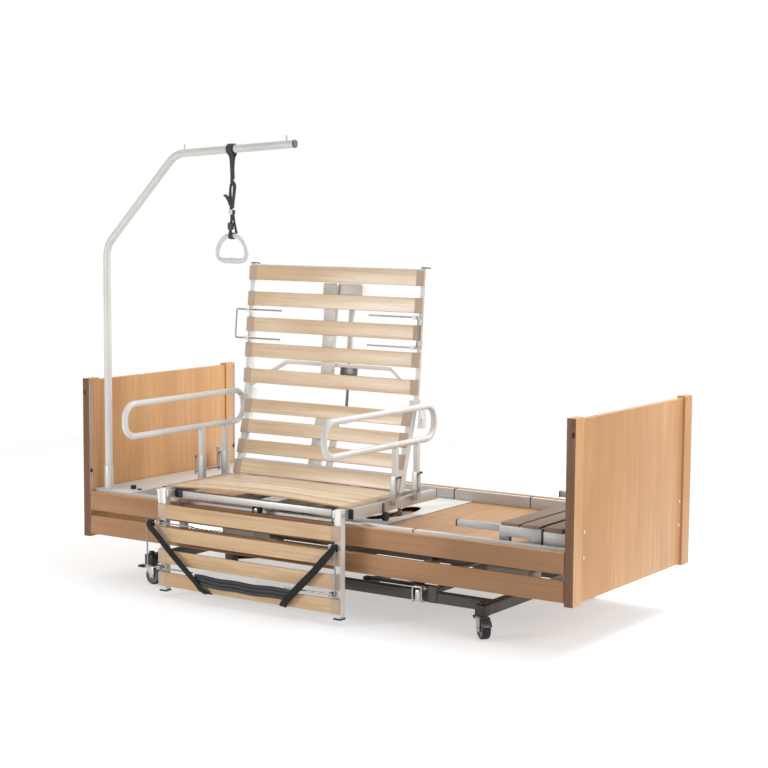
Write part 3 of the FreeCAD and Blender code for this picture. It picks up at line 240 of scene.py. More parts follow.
def moulded(name, colour, rough=0.5, grain=0.12, scale=900.0):
    """Moulded plastic or rubber with a fine spark texture."""
    s = Shader(name, colour)
    pale = tuple(c * 1.04 + 0.007 for c in colour)
    s.colour(s.mix(s.ramp(s.noise(11.0, 4), [(0.4, 0.0), (0.8, 1.0)]), colour, pale))
    s.roughness(s.noise(30.0, 3), rough - 0.08, rough + 0.10)
    return s.bump(s.noise(scale, 2), grain, 0.0003)


RIB_PITCH = 0.0022           # of the webbing's weave


def woven(name, colour, sheen=0.05):
    """Webbing: ribs across the strap and a diagonal twill, read from the strap's UV map; its
    colour carries painted shade in the grooves and painted highlight on the crests.
    """
    s = Shader(name, colour, Roughness=0.88, Sheen_Weight=sheen, Sheen_Roughness=0.5)
    uv = s.node("UVMap", uv_map="weave").outputs["UV"]
    ribs = s.node("TexWave", Scale=1.0, bands_direction="X", Distortion=0.3)
    s.link(s.stretched((0.32 / RIB_PITCH, 1, 1), uv), ribs.inputs["Vector"])
    twill = s.node("TexWave", Scale=1.0, bands_direction="DIAGONAL", Distortion=0.2)
    s.link(s.stretched((0.2 / RIB_PITCH, 0.45 / RIB_PITCH, 1), uv), twill.inputs["Vector"])
    height = s.math("ADD", s.math("MULTIPLY", ribs.outputs["Fac"], 0.7),
                    s.math("MULTIPLY", twill.outputs["Fac"], 0.5))
    # The colour follows the weave's height, darker in its grooves and lighter on its crests:
    # painted shade and painted highlight.
    pale = tuple(c * 1.9 + 0.002 for c in colour)
    s.colour(s.mix(s.ramp(height, [(0.2, 0.0), (1.0, 1.0)]), colour, pale))
    return s.bump(height, 0.6, 0.0006)


def fabric(name, colour):
    """Coated cloth: a fine weave in object space with soft creases, painted shade in the creases
    and a dull sheen.
    """
    s = Shader(name, colour, Roughness=0.42, Sheen_Weight=0.04, Sheen_Roughness=0.4)
    warp = s.node("TexWave", Scale=330.0, bands_direction="X", Distortion=0.4)
    weft = s.node("TexWave", Scale=330.0, bands_direction="Z", Distortion=0.4)
    for wave in (warp, weft):
        s.link(s.coords, wave.inputs["Vector"])
    weave = s.math("MULTIPLY", warp.outputs["Fac"], weft.outputs["Fac"])
    crease = s.noise(26.0, 3, (0.35, 1, 1), 0.6, 0.6)
    # The colour follows the creases' height, darker in their hollows and lighter on their crests:
    # painted shade.
    pale = tuple(c * 2.0 + 0.002 for c in colour)
    s.colour(s.mix(s.ramp(crease, [(0.4, 0.0), (0.75, 1.0)]), colour, pale))
    height = s.math("ADD", s.math("MULTIPLY", weave, 0.25), crease)
    return s.bump(height, 0.35, 0.0012)


# ---- materials --------------------------------------------------------------------------
BOARD_DARK, BOARD_LIGHT = (0.51, 0.262, 0.105), (0.62, 0.345, 0.150)
# The rails' beech is a darker copy of the boards' beech: painted shade on the rails' sides.
RAIL_PAINTED_SHADE_DARK, RAIL_PAINTED_SHADE_LIGHT = (0.290, 0.136, 0.053), (0.375, 0.188, 0.078)
# The seat's birch is a lighter copy of the slat birch: painted light on the seat slats.
SEAT_PAINTED_LIGHT_DARK, SEAT_PAINTED_LIGHT_LIGHT = (0.74, 0.57, 0.38), (0.93, 0.79, 0.61)
BIRCH_DARK, BIRCH_LIGHT = (0.64, 0.455, 0.275), (0.79, 0.64, 0.465)
board_wood = wood("board_beech", BOARD_DARK, BOARD_LIGHT, "z", 0.45)
# The boards' front and back edges get a much darker copy of their beech: painted shade.
board_painted_shade_edge = wood("board_painted_shade_edge_beech", (0.127, 0.051, 0.0165), (0.170, 0.071, 0.024), "z", 0.5)
rail_painted_shade_wood = wood("rail_beech", RAIL_PAINTED_SHADE_DARK, RAIL_PAINTED_SHADE_LIGHT, "x", 0.5)
deck_wood = wood("deck_beech", (0.43, 0.238, 0.112), (0.535, 0.325, 0.165), "y", 0.4,
                 (0.45, 0.6), 0.0)
# The panel under the turntable's slot gets a darker copy of the deck's beech: painted shade in the
# slot.
tray_painted_shade_wood = wood("tray_board_painted_shade", (0.26, 0.135, 0.075), (0.34, 0.185, 0.105), "x", 0.3,
                 (0.5, 0.65), 0.0)
# Faces of the rails that point up get a lighter beech: painted highlight on the rail tops.
rail_painted_highlight = wood("rail_painted_highlight_beech", (0.43, 0.215, 0.090), (0.54, 0.295, 0.130), "x", 0.5)
slat_wood = wood("slat_birch", BIRCH_DARK, BIRCH_LIGHT, "x", 0.34, (0.24, 0.38), 0.35, 1.25)
seat_painted_light_wood = wood("seat_birch_painted_light", SEAT_PAINTED_LIGHT_DARK, SEAT_PAINTED_LIGHT_LIGHT, "x", 0.40, (0.24, 0.38), 0.35, 1.3)
# The leg rest's birch is a darker copy of the slat birch: painted shade on the upright leg slats.
leg_painted_shade_wood = wood("leg_slat_birch_painted_shade", (0.50, 0.315, 0.160), (0.67, 0.465, 0.275), "x", 0.5,
                (0.30, 0.45), 0.2, 1.3)
foot_wood = wood("foot_slat_beech", (0.144, 0.089, 0.054), (0.209, 0.135, 0.085), "y", 0.45,
                 (0.38, 0.52), 0.08)
ply_edge = end_ply("slat_edge", (0.30, 0.17, 0.085), (0.66, 0.46, 0.27))
pocket = moulded("slat_pocket", (0.47, 0.345, 0.255), 0.55, 0.15)
white_coat = coated("white_powder_coat", (0.64, 0.625, 0.60))
back_coat = coated("backrest_powder_coat", (0.78, 0.77, 0.75))
plate_coat = coated("plate_powder_coat", (0.68, 0.67, 0.64), 0.42)
dark_coat = coated("dark_powder_coat", (0.085, 0.072, 0.062), 0.42, 0.06, 0.0, 0.12)
profile_y = brushed("profile_along_y", (0.62, 0.61, 0.59), "y", 0.40, 0.55)
profile_z = brushed("profile_along_z", (0.72, 0.69, 0.66), "z", 0.42, 0.25)
bracket_coat = brushed("bracket_aluminium", (0.46, 0.455, 0.44), "x", 0.42, 0.35)
rail_profile = brushed("side_profile", (0.66, 0.655, 0.64), "x", 0.40, 0.35)
wire = brushed("retainer_wire", (0.34, 0.33, 0.32), "x", 0.30, 0.95)
rod = brushed("dark_rod", (0.20, 0.19, 0.18), "z", 0.30, 0.95)
zinc = brushed("zinc_fastener", (0.60, 0.60, 0.58), "x", 0.30, 0.95)
fork_metal = coated("caster_metal", (0.13, 0.13, 0.135), 0.34, 0.05, 0.6, 0.15)
black = moulded("black_plastic", (0.008, 0.008, 0.009), 0.45)
rubber = moulded("black_rubber", (0.006, 0.006, 0.007), 0.62, 0.2, 500.0)
grey = moulded("grey_plastic", (0.30, 0.30, 0.29), 0.5)
hub_grey = moulded("hub_plastic", (0.11, 0.11, 0.115), 0.42)
motor_grey = moulded("motor_housing", (0.52, 0.51, 0.49), 0.45)
white = moulded("white_plastic", (0.60, 0.59, 0.565), 0.38, 0.015, 160.0)
paper = moulded("blank_label", (0.78, 0.80, 0.84), 0.7, 0.04, 200.0)
lead_black = moulded("lead_jacket", (0.020, 0.020, 0.021), 0.40, 0.06)
dark_webbing = woven("black_webbing", (0.0045, 0.0045, 0.005), sheen=0.02)
grey_webbing = woven("grey_webbing", (0.034, 0.034, 0.037))
pad_cloth = fabric("pad_cloth", (0.0075, 0.008, 0.011))


# ---- mesh helpers -----------------------------------------------------------------------
EDGE_ANGLE = math.radians(40.0)
FLAT_ANGLE = math.radians(0.6)   # faces that differ by less are merged before rounding
WELD = 2e-6


def link(obj, body, materials, replaces=()):
    """Puts a new piece on its body with its materials and hides the nodes it stands for."""
    bpy.context.scene.collection.objects.link(obj)
    for m in materials:
        obj.data.materials.append(m.material)
    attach(obj, body)
    if replaces:
        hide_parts(*replaces)
    return obj


def mesh_object(name, bm):
    """An object made from a bmesh, which is freed."""
    mesh = bpy.data.meshes.new(name)
    bm.normal_update()
    bm.to_mesh(mesh)
    bm.free()
    return bpy.data.objects.new(name, mesh)


def smooth(obj, angle=35.0):
    """Smooth shading that keeps edges sharper than angle."""
    limit = math.radians(angle)
    bm = bmesh.new()
    bm.from_mesh(obj.data)
    for f in bm.faces:
        f.smooth = True
    for e in bm.edges:
        e.smooth = len(e.link_faces) == 2 and e.calc_face_angle(0.0) < limit
    bm.to_mesh(obj.data)
    bm.free()
    return obj


def apply_modifiers(obj):
    """Replaces the object's mesh with what its modifiers make of it."""
    evaluated = obj.evaluated_get(bpy.context.evaluated_depsgraph_get())
    mesh = bpy.data.meshes.new_from_object(evaluated)
    obj.modifiers.clear()
    obj.data = mesh
    return obj


def round_edges(obj, width, segments):
    """Rounds the edges sharper than EDGE_ANGLE."""
    bevel = obj.modifiers.new("edges", "BEVEL")
    bevel.width = width
    bevel.segments = segments
    bevel.limit_method = "ANGLE"
    bevel.angle_limit = EDGE_ANGLE
    bevel.use_clamp_overlap = True
    bpy.context.view_layer.update()
    return apply_modifiers(obj)


def refined(node, material, width=0.0012, segments=2, zones=()):
    """A copy of a CAD node with small rounded edges, which stands for it.

    zones pairs a material with a test of a face's centre and normal, in the row frame.
    A width of 0 keeps the node's own faces, which suits bent tubes.
    """
    source = nodes[node]
    bm = bmesh.new()
    bm.from_mesh(source.data)
    bmesh.ops.remove_doubles(bm, verts=bm.verts, dist=WELD)
    if width:
        bmesh.ops.dissolve_limit(bm, angle_limit=FLAT_ANGLE, verts=bm.verts, edges=bm.edges)
    bm.normal_update()
    for face in bm.faces:
        centre = face.calc_center_median()
        face.material_index = next((i + 1 for i, (_, test) in enumerate(zones)
                                    if test(centre, face.normal)), 0)
    obj = mesh_object(node + "_detail", bm)
    link(obj, body_of[node], [material] + [z[0] for z in zones], [node])
    if width:
        round_edges(obj, width, segments)
    return smooth(obj)


def paint(node, shader):
    """Puts a shader on a CAD node that keeps its shape."""
    data = nodes[node].data
    if not data.materials:
        data.materials.append(None)
    for i in range(len(data.materials)):
        data.materials[i] = shader.material


# ---- slats ------------------------------------------------------------------------------
SLAT_THICK = 0.008
SLAT_ROUNDING = 0.0022
SLAT_CROWN = 0.009
SLAT_BACK = 0.017            # from a folding frame's plane to the back of its slats
SLAT_END_GAP = 0.004         # from a slat's end to the outer face of its pocket
STATIONS = 36                # steps along a slat
POCKET_LENGTH, POCKET_THICK, POCKET_ROUNDING = 0.038, 0.012, 0.003
POCKET_LIP, POCKET_RIM = 0.005, 0.003


def rounded_rectangle(width, thick, radius, corner_steps=3):
    """Outline points (v, n) of a rectangle with round corners, counter-clockwise."""
    points = []
    corners = ((width / 2 - radius, thick / 2 - radius, 0), (-width / 2 + radius,
               thick / 2 - radius, 90), (-width / 2 + radius, -thick / 2 + radius, 180),
               (width / 2 - radius, -thick / 2 + radius, 270))
    for cv, cn, start in corners:
        for i in range(corner_steps + 1):
            a = math.radians(start + 90 * i / corner_steps)
            points.append((cv + radius * math.cos(a), cn + radius * math.sin(a)))
    return points


def add_slat(bm, uv, v0, width, back, crown, half, to_world):
    """One crowned slat; faces on its long thin edges get material 1 and a UV of their own."""
    outline = rounded_rectangle(width, SLAT_THICK, SLAT_ROUNDING)
    rings = []
    for i in range(STATIONS + 1):
        x = -half + 2 * half * i / STATIONS
        out = back + SLAT_THICK / 2 + crown * (1 - (x / half) ** 2)
        ring = [bm.verts.new(to_world(x, out + n, v0 + width / 2 + v)) for v, n in outline]
        rings.append((x, ring))
    count = len(outline)
    for (xa, a), (xb, b) in zip(rings, rings[1:]):
        for j in range(count):
            k = (j + 1) % count
            face = bm.faces.new((a[j], a[k], b[k], b[j]))
            v_mid = (outline[j][0] + outline[k][0]) / 2
            if abs(v_mid) > width / 2 - 0.0009:
                face.material_index = 1
            for loop, (x, n) in zip(face.loops, ((xa, outline[j][1]), (xa, outline[k][1]),
                                                 (xb, outline[k][1]), (xb, outline[j][1]))):
                loop[uv].uv = (x, n)
    for end in (rings[0][1], rings[-1][1]):
        face = bm.faces.new(end)
        face.material_index = 1


def add_pocket(bm, v0, width, back, half, side, to_world):
    """A slat's end pocket: a rounded sleeve with a lip round its mouth."""
    rim = POCKET_LENGTH - POCKET_RIM
    for start, stop, grow in ((0.0, POCKET_LIP, 0.0), (POCKET_LIP, rim, -0.0006),
                              (rim, POCKET_LENGTH, 0.0)):
        outline = rounded_rectangle(width + 0.002 + grow, POCKET_THICK + grow,
                                    POCKET_ROUNDING)
        loops = []
        for distance in (start, stop):
            x = side * (half - distance)
            loops.append([bm.verts.new(to_world(x, back + 0.004 + n, v0 + width / 2 + v))
                          for v, n in outline])
        count = len(outline)
        for j in range(count):
            k = (j + 1) % count
            bm.faces.new((loops[0][j], loops[0][k], loops[1][k], loops[1][j]))
        bm.faces.new(loops[0])
        bm.faces.new(loops[1])


def leaning(pivot, angle):
    """Maps (x from the middle, n forward, v up) of a leaning frame to the row frame."""
    s, c = math.sin(angle), math.cos(angle)

    def to_world(x, n, v):
        return Vector((SEAT_X + x, pivot.y + v * s - n * c, pivot.z + v * c + n * s))
    return to_world


def slat_set(node, starts, width, back, crowns, half, to_world, shader):
    """A row of slats and their end pockets, which together stand for one node."""
    body = body_of[node]
    bm = bmesh.new()
    uv = bm.loops.layers.uv.new("edge")
    for v0, crown in zip(starts, crowns):
        add_slat(bm, uv, v0, width, back, crown, half - SLAT_END_GAP, to_world)
    bmesh.ops.recalc_face_normals(bm, faces=bm.faces)
    slats = mesh_object(node + "_wood", bm)
    link(slats, body, [shader, ply_edge], [node])
    smooth(slats)
    bm = bmesh.new()
    for v0 in starts:
        for side in (1, -1):
            add_pocket(bm, v0, width, back, half, side, to_world)
    bmesh.ops.recalc_face_normals(bm, faces=bm.faces)
    pockets = mesh_object(node + "_pockets", bm)
    link(pockets, body, [pocket], [node])
    smooth(pockets)


lower_frame = leaning(BACK_PIVOT, LOWER_LEAN)
upper_frame = leaning(MID_HINGE, UPPER_LEAN)
leg_plane = leaning(LEG_PIVOT, 0.0)


def seat_plane(x, n, v):
    """The seat's slats lie flat: forward of the frame is up, and up the slats is back."""
    return Vector((SEAT_X + x, -0.534 + SHIFT + v, 0.446 + n))


# The seat slats carry the lighter birch, which is painted light.
slat_set("seat_slats", [i * 0.080 for i in range(5)], 0.075, 0.0,
         (0.014, 0.014, 0.012, 0.010, 0.008), HALF_SEAT, seat_plane, seat_painted_light_wood)
slat_set("back_lower_slats", [0.0264 + i * 0.0882 for i in range(4)], 0.058, SLAT_BACK,
         [SLAT_CROWN] * 4, HALF_LOWER_BACK, lower_frame, slat_wood)
slat_set("back_upper_slats", [0.0393 + i * 0.1101 for i in range(5)], 0.060, SLAT_BACK,
         [SLAT_CROWN] * 5, HALF_UPPER_BACK, upper_frame, slat_wood)
# The leg slats carry the darker birch, which is painted shade.
slat_set("leg_slats", [-0.382 + i * 0.0933 for i in range(4)], 0.057, SLAT_BACK,
         [SLAT_CROWN] * 4, HALF_SEAT, leg_plane, leg_painted_shade_wood)


# ---- webbing, pad and lead --------------------------------------------------------------
CURVE_STEPS = 8


def between(a, b, c, d, t):
    """The point at t from b to c on the Catmull-Rom curve through four points."""
    return 0.5 * (2 * b + (c - a) * t + (2 * a - 5 * b + 4 * c - d) * t * t
                  + (3 * b - a - 3 * c + d) * t ** 3)


def curve_through(points):
    """Points of a smooth open curve through the given ones."""
    ends = [points[0] * 2 - points[1]] + list(points) + [points[-1] * 2 - points[-2]]
    made = []
    for a, b, c, d in zip(ends, ends[1:], ends[2:], ends[3:]):
        made += [between(a, b, c, d, i / CURVE_STEPS) for i in range(CURVE_STEPS)]
    return made + [points[-1]]


def add_ribbon(bm, uv, stations, thick):
    """A strap through stations of (centre, direction across, width), with worn round edges."""
    centres = curve_through([c for c, _, _ in stations])
    across = curve_through([a.normalized() for _, a, _ in stations])
    widths = curve_through([Vector((w, 0, 0)) for _, _, w in stations])
    run = 0.0
    rings = []
    for i, centre in enumerate(centres):
        ahead = centres[min(i + 1, len(centres) - 1)]
        behind = centres[max(i - 1, 0)]
        run += (centre - centres[i - 1]).length if i else 0.0
        tangent = (ahead - behind).normalized()
        side = (across[i] - tangent * across[i].dot(tangent)).normalized()
        normal = tangent.cross(side)
        outline = rounded_rectangle(widths[i].x, thick, thick * 0.46, 2)
        rings.append((run, outline, [bm.verts.new(centre + side * v + normal * n)
                                     for v, n in outline]))
    count = len(rings[0][2])
    for (ra, oa, a), (rb, ob, b) in zip(rings, rings[1:]):
        for j in range(count):
            k = (j + 1) % count
            face = bm.faces.new((a[j], a[k], b[k], b[j]))
            for loop, point in zip(face.loops, ((ra, oa[j][0]), (ra, oa[k][0]),
                                                (rb, ob[k][0]), (rb, ob[j][0]))):
                loop[uv].uv = point
    bm.faces.new(rings[0][2])
    bm.faces.new(rings[-1][2])


def webbing_piece(name, body, node, material, ribbons, thick):
    """One object made of several straps."""
    bm = bmesh.new()
    uv = bm.loops.layers.uv.new("weave")
    for stations in ribbons:
        add_ribbon(bm, uv, stations, thick)
    bmesh.ops.recalc_face_normals(bm, faces=bm.faces)
    obj = mesh_object(name, bm)
    link(obj, body, [material], [node])
    return smooth(obj, 60.0)


ALONG_X = Vector((1, 0, 0))
STRAP_FRONT = LEG_PIVOT.y - 0.0525       # middle of the straps' thickness on the leg rest
WIRE_Y = LEG_PIVOT.y - 0.036             # the retainers' upper wires
WIRE_Z = LEG_PIVOT.z - 0.120
TUBE_BACK = LEG_PIVOT.y + 0.0137         # behind the leg rest's bottom tube
LEG_STRAP_THICK = 0.0022


def leg_strap(wire_x, foot_x, width, twist):
    """Stations of one leg strap: round the wire, down and round the bottom slat and tube."""
    top = Vector((wire_x, STRAP_FRONT, WIRE_Z - 0.012))
    foot = Vector((foot_x, STRAP_FRONT, 0.046))
    run = (foot - top).normalized()
    flat = Vector((-run.z, 0, run.x))
    if flat.x < 0:
        flat = -flat
    stations = [(Vector((wire_x, WIRE_Y + 0.006, WIRE_Z - 0.020)), ALONG_X, 0.022),
                (Vector((wire_x, WIRE_Y + 0.005, WIRE_Z + 0.002)), ALONG_X, 0.024),
                (Vector((wire_x, WIRE_Y - 0.004, WIRE_Z + 0.0065)), ALONG_X, 0.025),
                (top, ALONG_X * 0.6 + flat * 0.4, 0.026)]
    for t, lift in ((0.16, 0.4), (0.34, 1.0), (0.5, 0.7), (0.68, 0.0), (0.84, -0.3)):
        centre = top.lerp(foot, t) + Vector((0, 0.0008 * math.sin(5 * t), -0.004 * lift))
        tilted = flat + Vector((0, twist * lift, 0))
        stations.append((centre, tilted, width - 0.002 * abs(lift)))
    near = top.lerp(foot, 0.955)
    stations += [(top.lerp(foot, 0.905), flat * 0.8 + ALONG_X * 0.2, width),
                 (Vector((near.x, LEG_PIVOT.y - 0.0455, near.z)), flat * 0.5 + ALONG_X * 0.5,
                  width - 0.001),
                 (Vector((foot_x, LEG_PIVOT.y - 0.0355, 0.0475)), ALONG_X, 0.028),
                 (Vector((foot_x, LEG_PIVOT.y - 0.0180, 0.0461)), ALONG_X, 0.030),
                 (Vector((foot_x, TUBE_BACK - 0.004, 0.0463)), ALONG_X, 0.030),
                 (Vector((foot_x, TUBE_BACK, 0.0505)), ALONG_X, 0.030),
                 (Vector((foot_x, TUBE_BACK, 0.066)), ALONG_X, 0.030),
                 (Vector((foot_x, TUBE_BACK, 0.088)), ALONG_X, 0.030)]
    return stations


PAD_LEFT, PAD_RIGHT = -0.466, 0.020
PAD_LOW, PAD_HIGH = LEG_PIVOT.z - 0.352, LEG_PIVOT.z - 0.306
PAD_Y = LEG_PIVOT.y - 0.0462
PAD_DEPTH = 0.0098
PAD_ROLLS = 3
PAD_COLUMNS, PAD_ROWS = 120, 30


def pad_point(x, v, side):
    """A point of the pad's front or back: three soft rolls with creases, pinched at the ends."""
    t = (x - PAD_LEFT) / (PAD_RIGHT - PAD_LEFT)
    roll = abs(math.sin(PAD_ROLLS * math.pi * v)) ** 0.6
    edge = min(1.0, math.sin(math.pi * min(max(v, 0.0), 1.0)) * 3.0)
    pinch = min(1.0, 0.35 + 9.0 * min(t, 1 - t))
    crease = 1 + 0.10 * math.sin(31 * t + 4 * v) * math.sin(13 * t + 1.3)
    half = PAD_DEPTH / 2 * (0.32 + 0.68 * roll) * (0.35 + 0.65 * edge) * pinch * crease
    sag = -0.005 * math.sin(math.pi * t) + 0.0016 * math.sin(17 * t + 0.6)
    height = (PAD_HIGH - PAD_LOW) * (0.86 + 0.14 * pinch)
    z = (PAD_LOW + PAD_HIGH) / 2 + (v - 0.5) * height + sag
    return Vector((x, PAD_Y + side * min(half, PAD_DEPTH / 2), z))


def leg_pad():
    """Ribbed pad slung between the two leg straps."""
    bm = bmesh.new()
    rings = []
    for i in range(PAD_COLUMNS + 1):
        x = PAD_LEFT + (PAD_RIGHT - PAD_LEFT) * i / PAD_COLUMNS
        front = [pad_point(x, j / PAD_ROWS, -1) for j in range(PAD_ROWS + 1)]
        rear = [pad_point(x, j / PAD_ROWS, 1) for j in range(PAD_ROWS, -1, -1)]
        rings.append([bm.verts.new(p) for p in front + rear])
    count = len(rings[0])
    for a, b in zip(rings, rings[1:]):
        for j in range(count):
            k = (j + 1) % count
            bm.faces.new((a[j], a[k], b[k], b[j]))
    bm.faces.new(rings[0])
    bm.faces.new(rings[-1])
    bmesh.ops.recalc_face_normals(bm, faces=bm.faces)
    pad = mesh_object("leg_pad", bm)
    link(pad, "leg_rest", [pad_cloth], ["leg_straps"])
    smooth(pad, 50.0)


webbing_piece("leg_webbing", "leg_rest", "leg_straps", dark_webbing,
              [leg_strap(-0.700, -0.404, 0.026, 0.38), leg_strap(0.216, -0.030, 0.031, 0.16)],
              LEG_STRAP_THICK)
leg_pad()

ARM_SLOPE = (1.836 - 1.803) / (0.700 - 0.098)
ARM_Z = 1.803 + (STRAP_X + 0.700) * ARM_SLOPE
SLEEVE_R = 0.0214            # of the strap's wrap round the clasp
LOOP_R = 0.0128              # of the strap's loop round the handle
LOOP_Z = 1.475
GRAB_STRAP_THICK = 0.0019


def strap_point(dx, z, dy=0.0):
    """A point beside the grab strap's middle line."""
    return Vector((STRAP_X + dx, POLE_Y + dy, z))


def grab_strap():
    """The grab handle's webbing: wrap, neck, two strands, tail and the loop round the handle."""
    across = ALONG_X
    wrap = []
    for i in range(13):
        a = math.radians(-90 + 360 * i / 12)
        centre = Vector((STRAP_X, POLE_Y + SLEEVE_R * math.cos(a),
                         ARM_Z + SLEEVE_R * math.sin(a)))
        wrap.append((centre, across, 0.030))
    neck_front = [(strap_point(0.001, ARM_Z - 0.019, -0.013), across, 0.027),
                  (strap_point(0.001, ARM_Z - 0.034, -0.0040), across, 0.023),
                  (strap_point(0.001, 1.745, -0.0018), across, 0.0185),
                  (strap_point(0.002, 1.715, -0.0018), across, 0.0175),
                  (strap_point(0.002, 1.686, -0.0020), across, 0.018)]
    neck_back = [(strap_point(0.003, ARM_Z - 0.019, 0.013), across, 0.027),
                 (strap_point(0.002, ARM_Z - 0.034, 0.0040), across, 0.024),
                 (strap_point(0.001, 1.745, 0.0018), across, 0.021),
                 (strap_point(0.003, 1.700, 0.0018), across, 0.020)]
    turn = Vector((0.80, 0.60, 0))
    left = [(strap_point(-0.002, 1.688, 0.0035), across, 0.015),
            (strap_point(-0.0090, 1.670, 0.0030), turn, 0.010),
            (strap_point(-0.0095, 1.640, 0.0010), turn, 0.012),
            (strap_point(-0.0060, 1.608, 0.0), across, 0.015),
            (strap_point(-0.0030, 1.575, 0.0), across, 0.016)]
    right = [(strap_point(0.003, 1.690, -0.0035), across, 0.016),
             (strap_point(0.0150, 1.679, -0.0045), across + Vector((0, 0.5, 0)), 0.015),
             (strap_point(0.0155, 1.660, -0.0040), across + Vector((0, 0.3, 0)), 0.015),
             (strap_point(0.0105, 1.625, -0.0030), across, 0.015),
             (strap_point(0.0045, 1.585, -0.0030), across, 0.016)]
    tail = [(strap_point(-0.0050, 1.596, -0.0045), across, 0.016),
            (strap_point(-0.0080, 1.612, -0.0055), across + Vector((0, 0.6, 0)), 0.016),
            (strap_point(-0.0190, 1.628, -0.0060), Vector((0.5, 0.85, 0.1)), 0.017),
            (strap_point(-0.0330, 1.6385, -0.0060), Vector((0.3, 0.95, 0.1)), 0.018)]
    lower = [(strap_point(0.001, 1.576, -0.002), across, 0.016),
             (strap_point(0.000, 1.550, -0.002), across, 0.014),
             (strap_point(-0.003, 1.522, -0.002), across, 0.014),
             (strap_point(-0.003, 1.497, -0.006), across, 0.015),
             (strap_point(-0.001, 1.484, -0.0105), across, 0.018)]
    thin = [(strap_point(0.004, 1.572, 0.002), across, 0.009),
            (strap_point(0.008, 1.535, 0.004), across + Vector((0, 0.5, 0)), 0.009),
            (strap_point(0.0125, 1.500, 0.008), across + Vector((0, 0.7, 0)), 0.010),
            (strap_point(0.0140, 1.484, 0.0115), across, 0.012)]
    loop = []
    for i in range(13):
        a = math.radians(90 + 360 * i / 12)
        loop.append((Vector((STRAP_X, POLE_Y + LOOP_R * math.cos(a),
                             LOOP_Z + LOOP_R * math.sin(a))), across, 0.020))
    return webbing_piece("grab_webbing", "strap", "strap", grey_webbing,
                         [wrap, neck_front, neck_back, left, right, tail, lower, thin, loop],
                         GRAB_STRAP_THICK)


def moulded_block(name, body, node, material, low, high, width, bulge=0.0):
    """A small moulded block with rounded edges and optional bulging sides."""
    bm = bmesh.new()
    bmesh.ops.create_cube(bm, size=1.0)
    bmesh.ops.subdivide_edges(bm, edges=bm.edges, cuts=4, use_grid_fill=True)
    for v in bm.verts:
        swell = 1 + bulge * math.cos(math.pi * v.co.z)
        v.co = Vector(((low.x + high.x) / 2 + v.co.x * (high.x - low.x) * swell,
                       (low.y + high.y) / 2 + v.co.y * (high.y - low.y),
                       (low.z + high.z) / 2 + v.co.z * (high.z - low.z)))
    obj = mesh_object(name, bm)
    link(obj, body, [material], [node])
    return smooth(round_edges(obj, width, 3))


grab_strap()
moulded_block("strap_slider", "strap", "strap", white, strap_point(-0.0135, 1.560, -0.0055),
              strap_point(0.0050, 1.580, 0.0045), 0.0018)
moulded_block("strap_slider_back", "strap", "strap", black, strap_point(0.0055, 1.561, -0.0045),
              strap_point(0.0135, 1.579, 0.0045), 0.0018)
moulded_block("strap_buckle", "strap", "strap", black, strap_point(-0.0170, 1.499, -0.0075),
              strap_point(0.0045, 1.528, 0.0065), 0.0035, 0.10)
moulded_block("strap_buckle_tab", "strap", "strap", grey, strap_point(-0.0200, 1.506, -0.0045),
              strap_point(-0.0172, 1.520, 0.0035), 0.001)

LEAD_Y = -0.415 + SHIFT      # middle line of the curly lead, at its ends
LEAD_Z = 0.256
LEAD_DIAMETER = 0.0045
COIL_START, COIL_STOP = -0.638, -0.500
COIL_RADIUS = 0.0087
COIL_TURNS = 6
TURN_POINTS = 18
ROUTE_STEP = 0.0012
LEAD_IN = 0.0140             # length over which the lead swings out into its first turn
LEAD_IN_POINTS = 10


def lead_route():
    """Points along the lead's smooth middle line, which sags a little between its ends."""
    drops = ((-0.672, 0.0), (-0.661, 0.0), (-0.648, 0.0), (-0.630, 0.0012), (-0.603, 0.0030),
             (-0.569, 0.0042), (-0.535, 0.0030), (-0.508, 0.0012), (-0.496, 0.0),
             (-0.489, 0.0), (-0.482, 0.0))
    curve = bpy.data.curves.new("lead_route", "CURVE")
    curve.dimensions = "3D"
    curve.resolution_u = 24
    spline = curve.splines.new("NURBS")
    spline.points.add(len(drops) - 1)
    for point, (x, drop) in zip(spline.points, drops):
        point.co = (x, LEAD_Y, LEAD_Z - drop, 1)
    spline.order_u = 3
    spline.use_endpoint_u = True
    holder = bpy.data.objects.new("lead_route", curve)
    bpy.context.scene.collection.objects.link(holder)
    bpy.context.view_layer.update()
    mesh = bpy.data.meshes.new_from_object(holder)
    points = [mesh.vertices[0].co.copy()]
    for vertex in mesh.vertices:
        if (vertex.co - points[-1]).length > ROUTE_STEP:
            points.append(vertex.co.copy())
    points[-1] = mesh.vertices[-1].co.copy()
    bpy.data.meshes.remove(mesh)
    bpy.data.objects.remove(holder)
    bpy.data.curves.remove(curve)
    return points


def on_route(points, x):
    """The point of the route at x."""
    for a, b in zip(points, points[1:]):
        if a.x <= x <= b.x:
            return a.lerp(b, (x - a.x) / max(b.x - a.x, 1e-9))
    return points[0] if x < points[0].x else points[-1]


def turned(route, x, radius, angle):
    """The point beside the route at x, at that radius and angle about it."""
    return on_route(route, x) + Vector((0, radius * math.sin(angle), radius * math.cos(angle)))


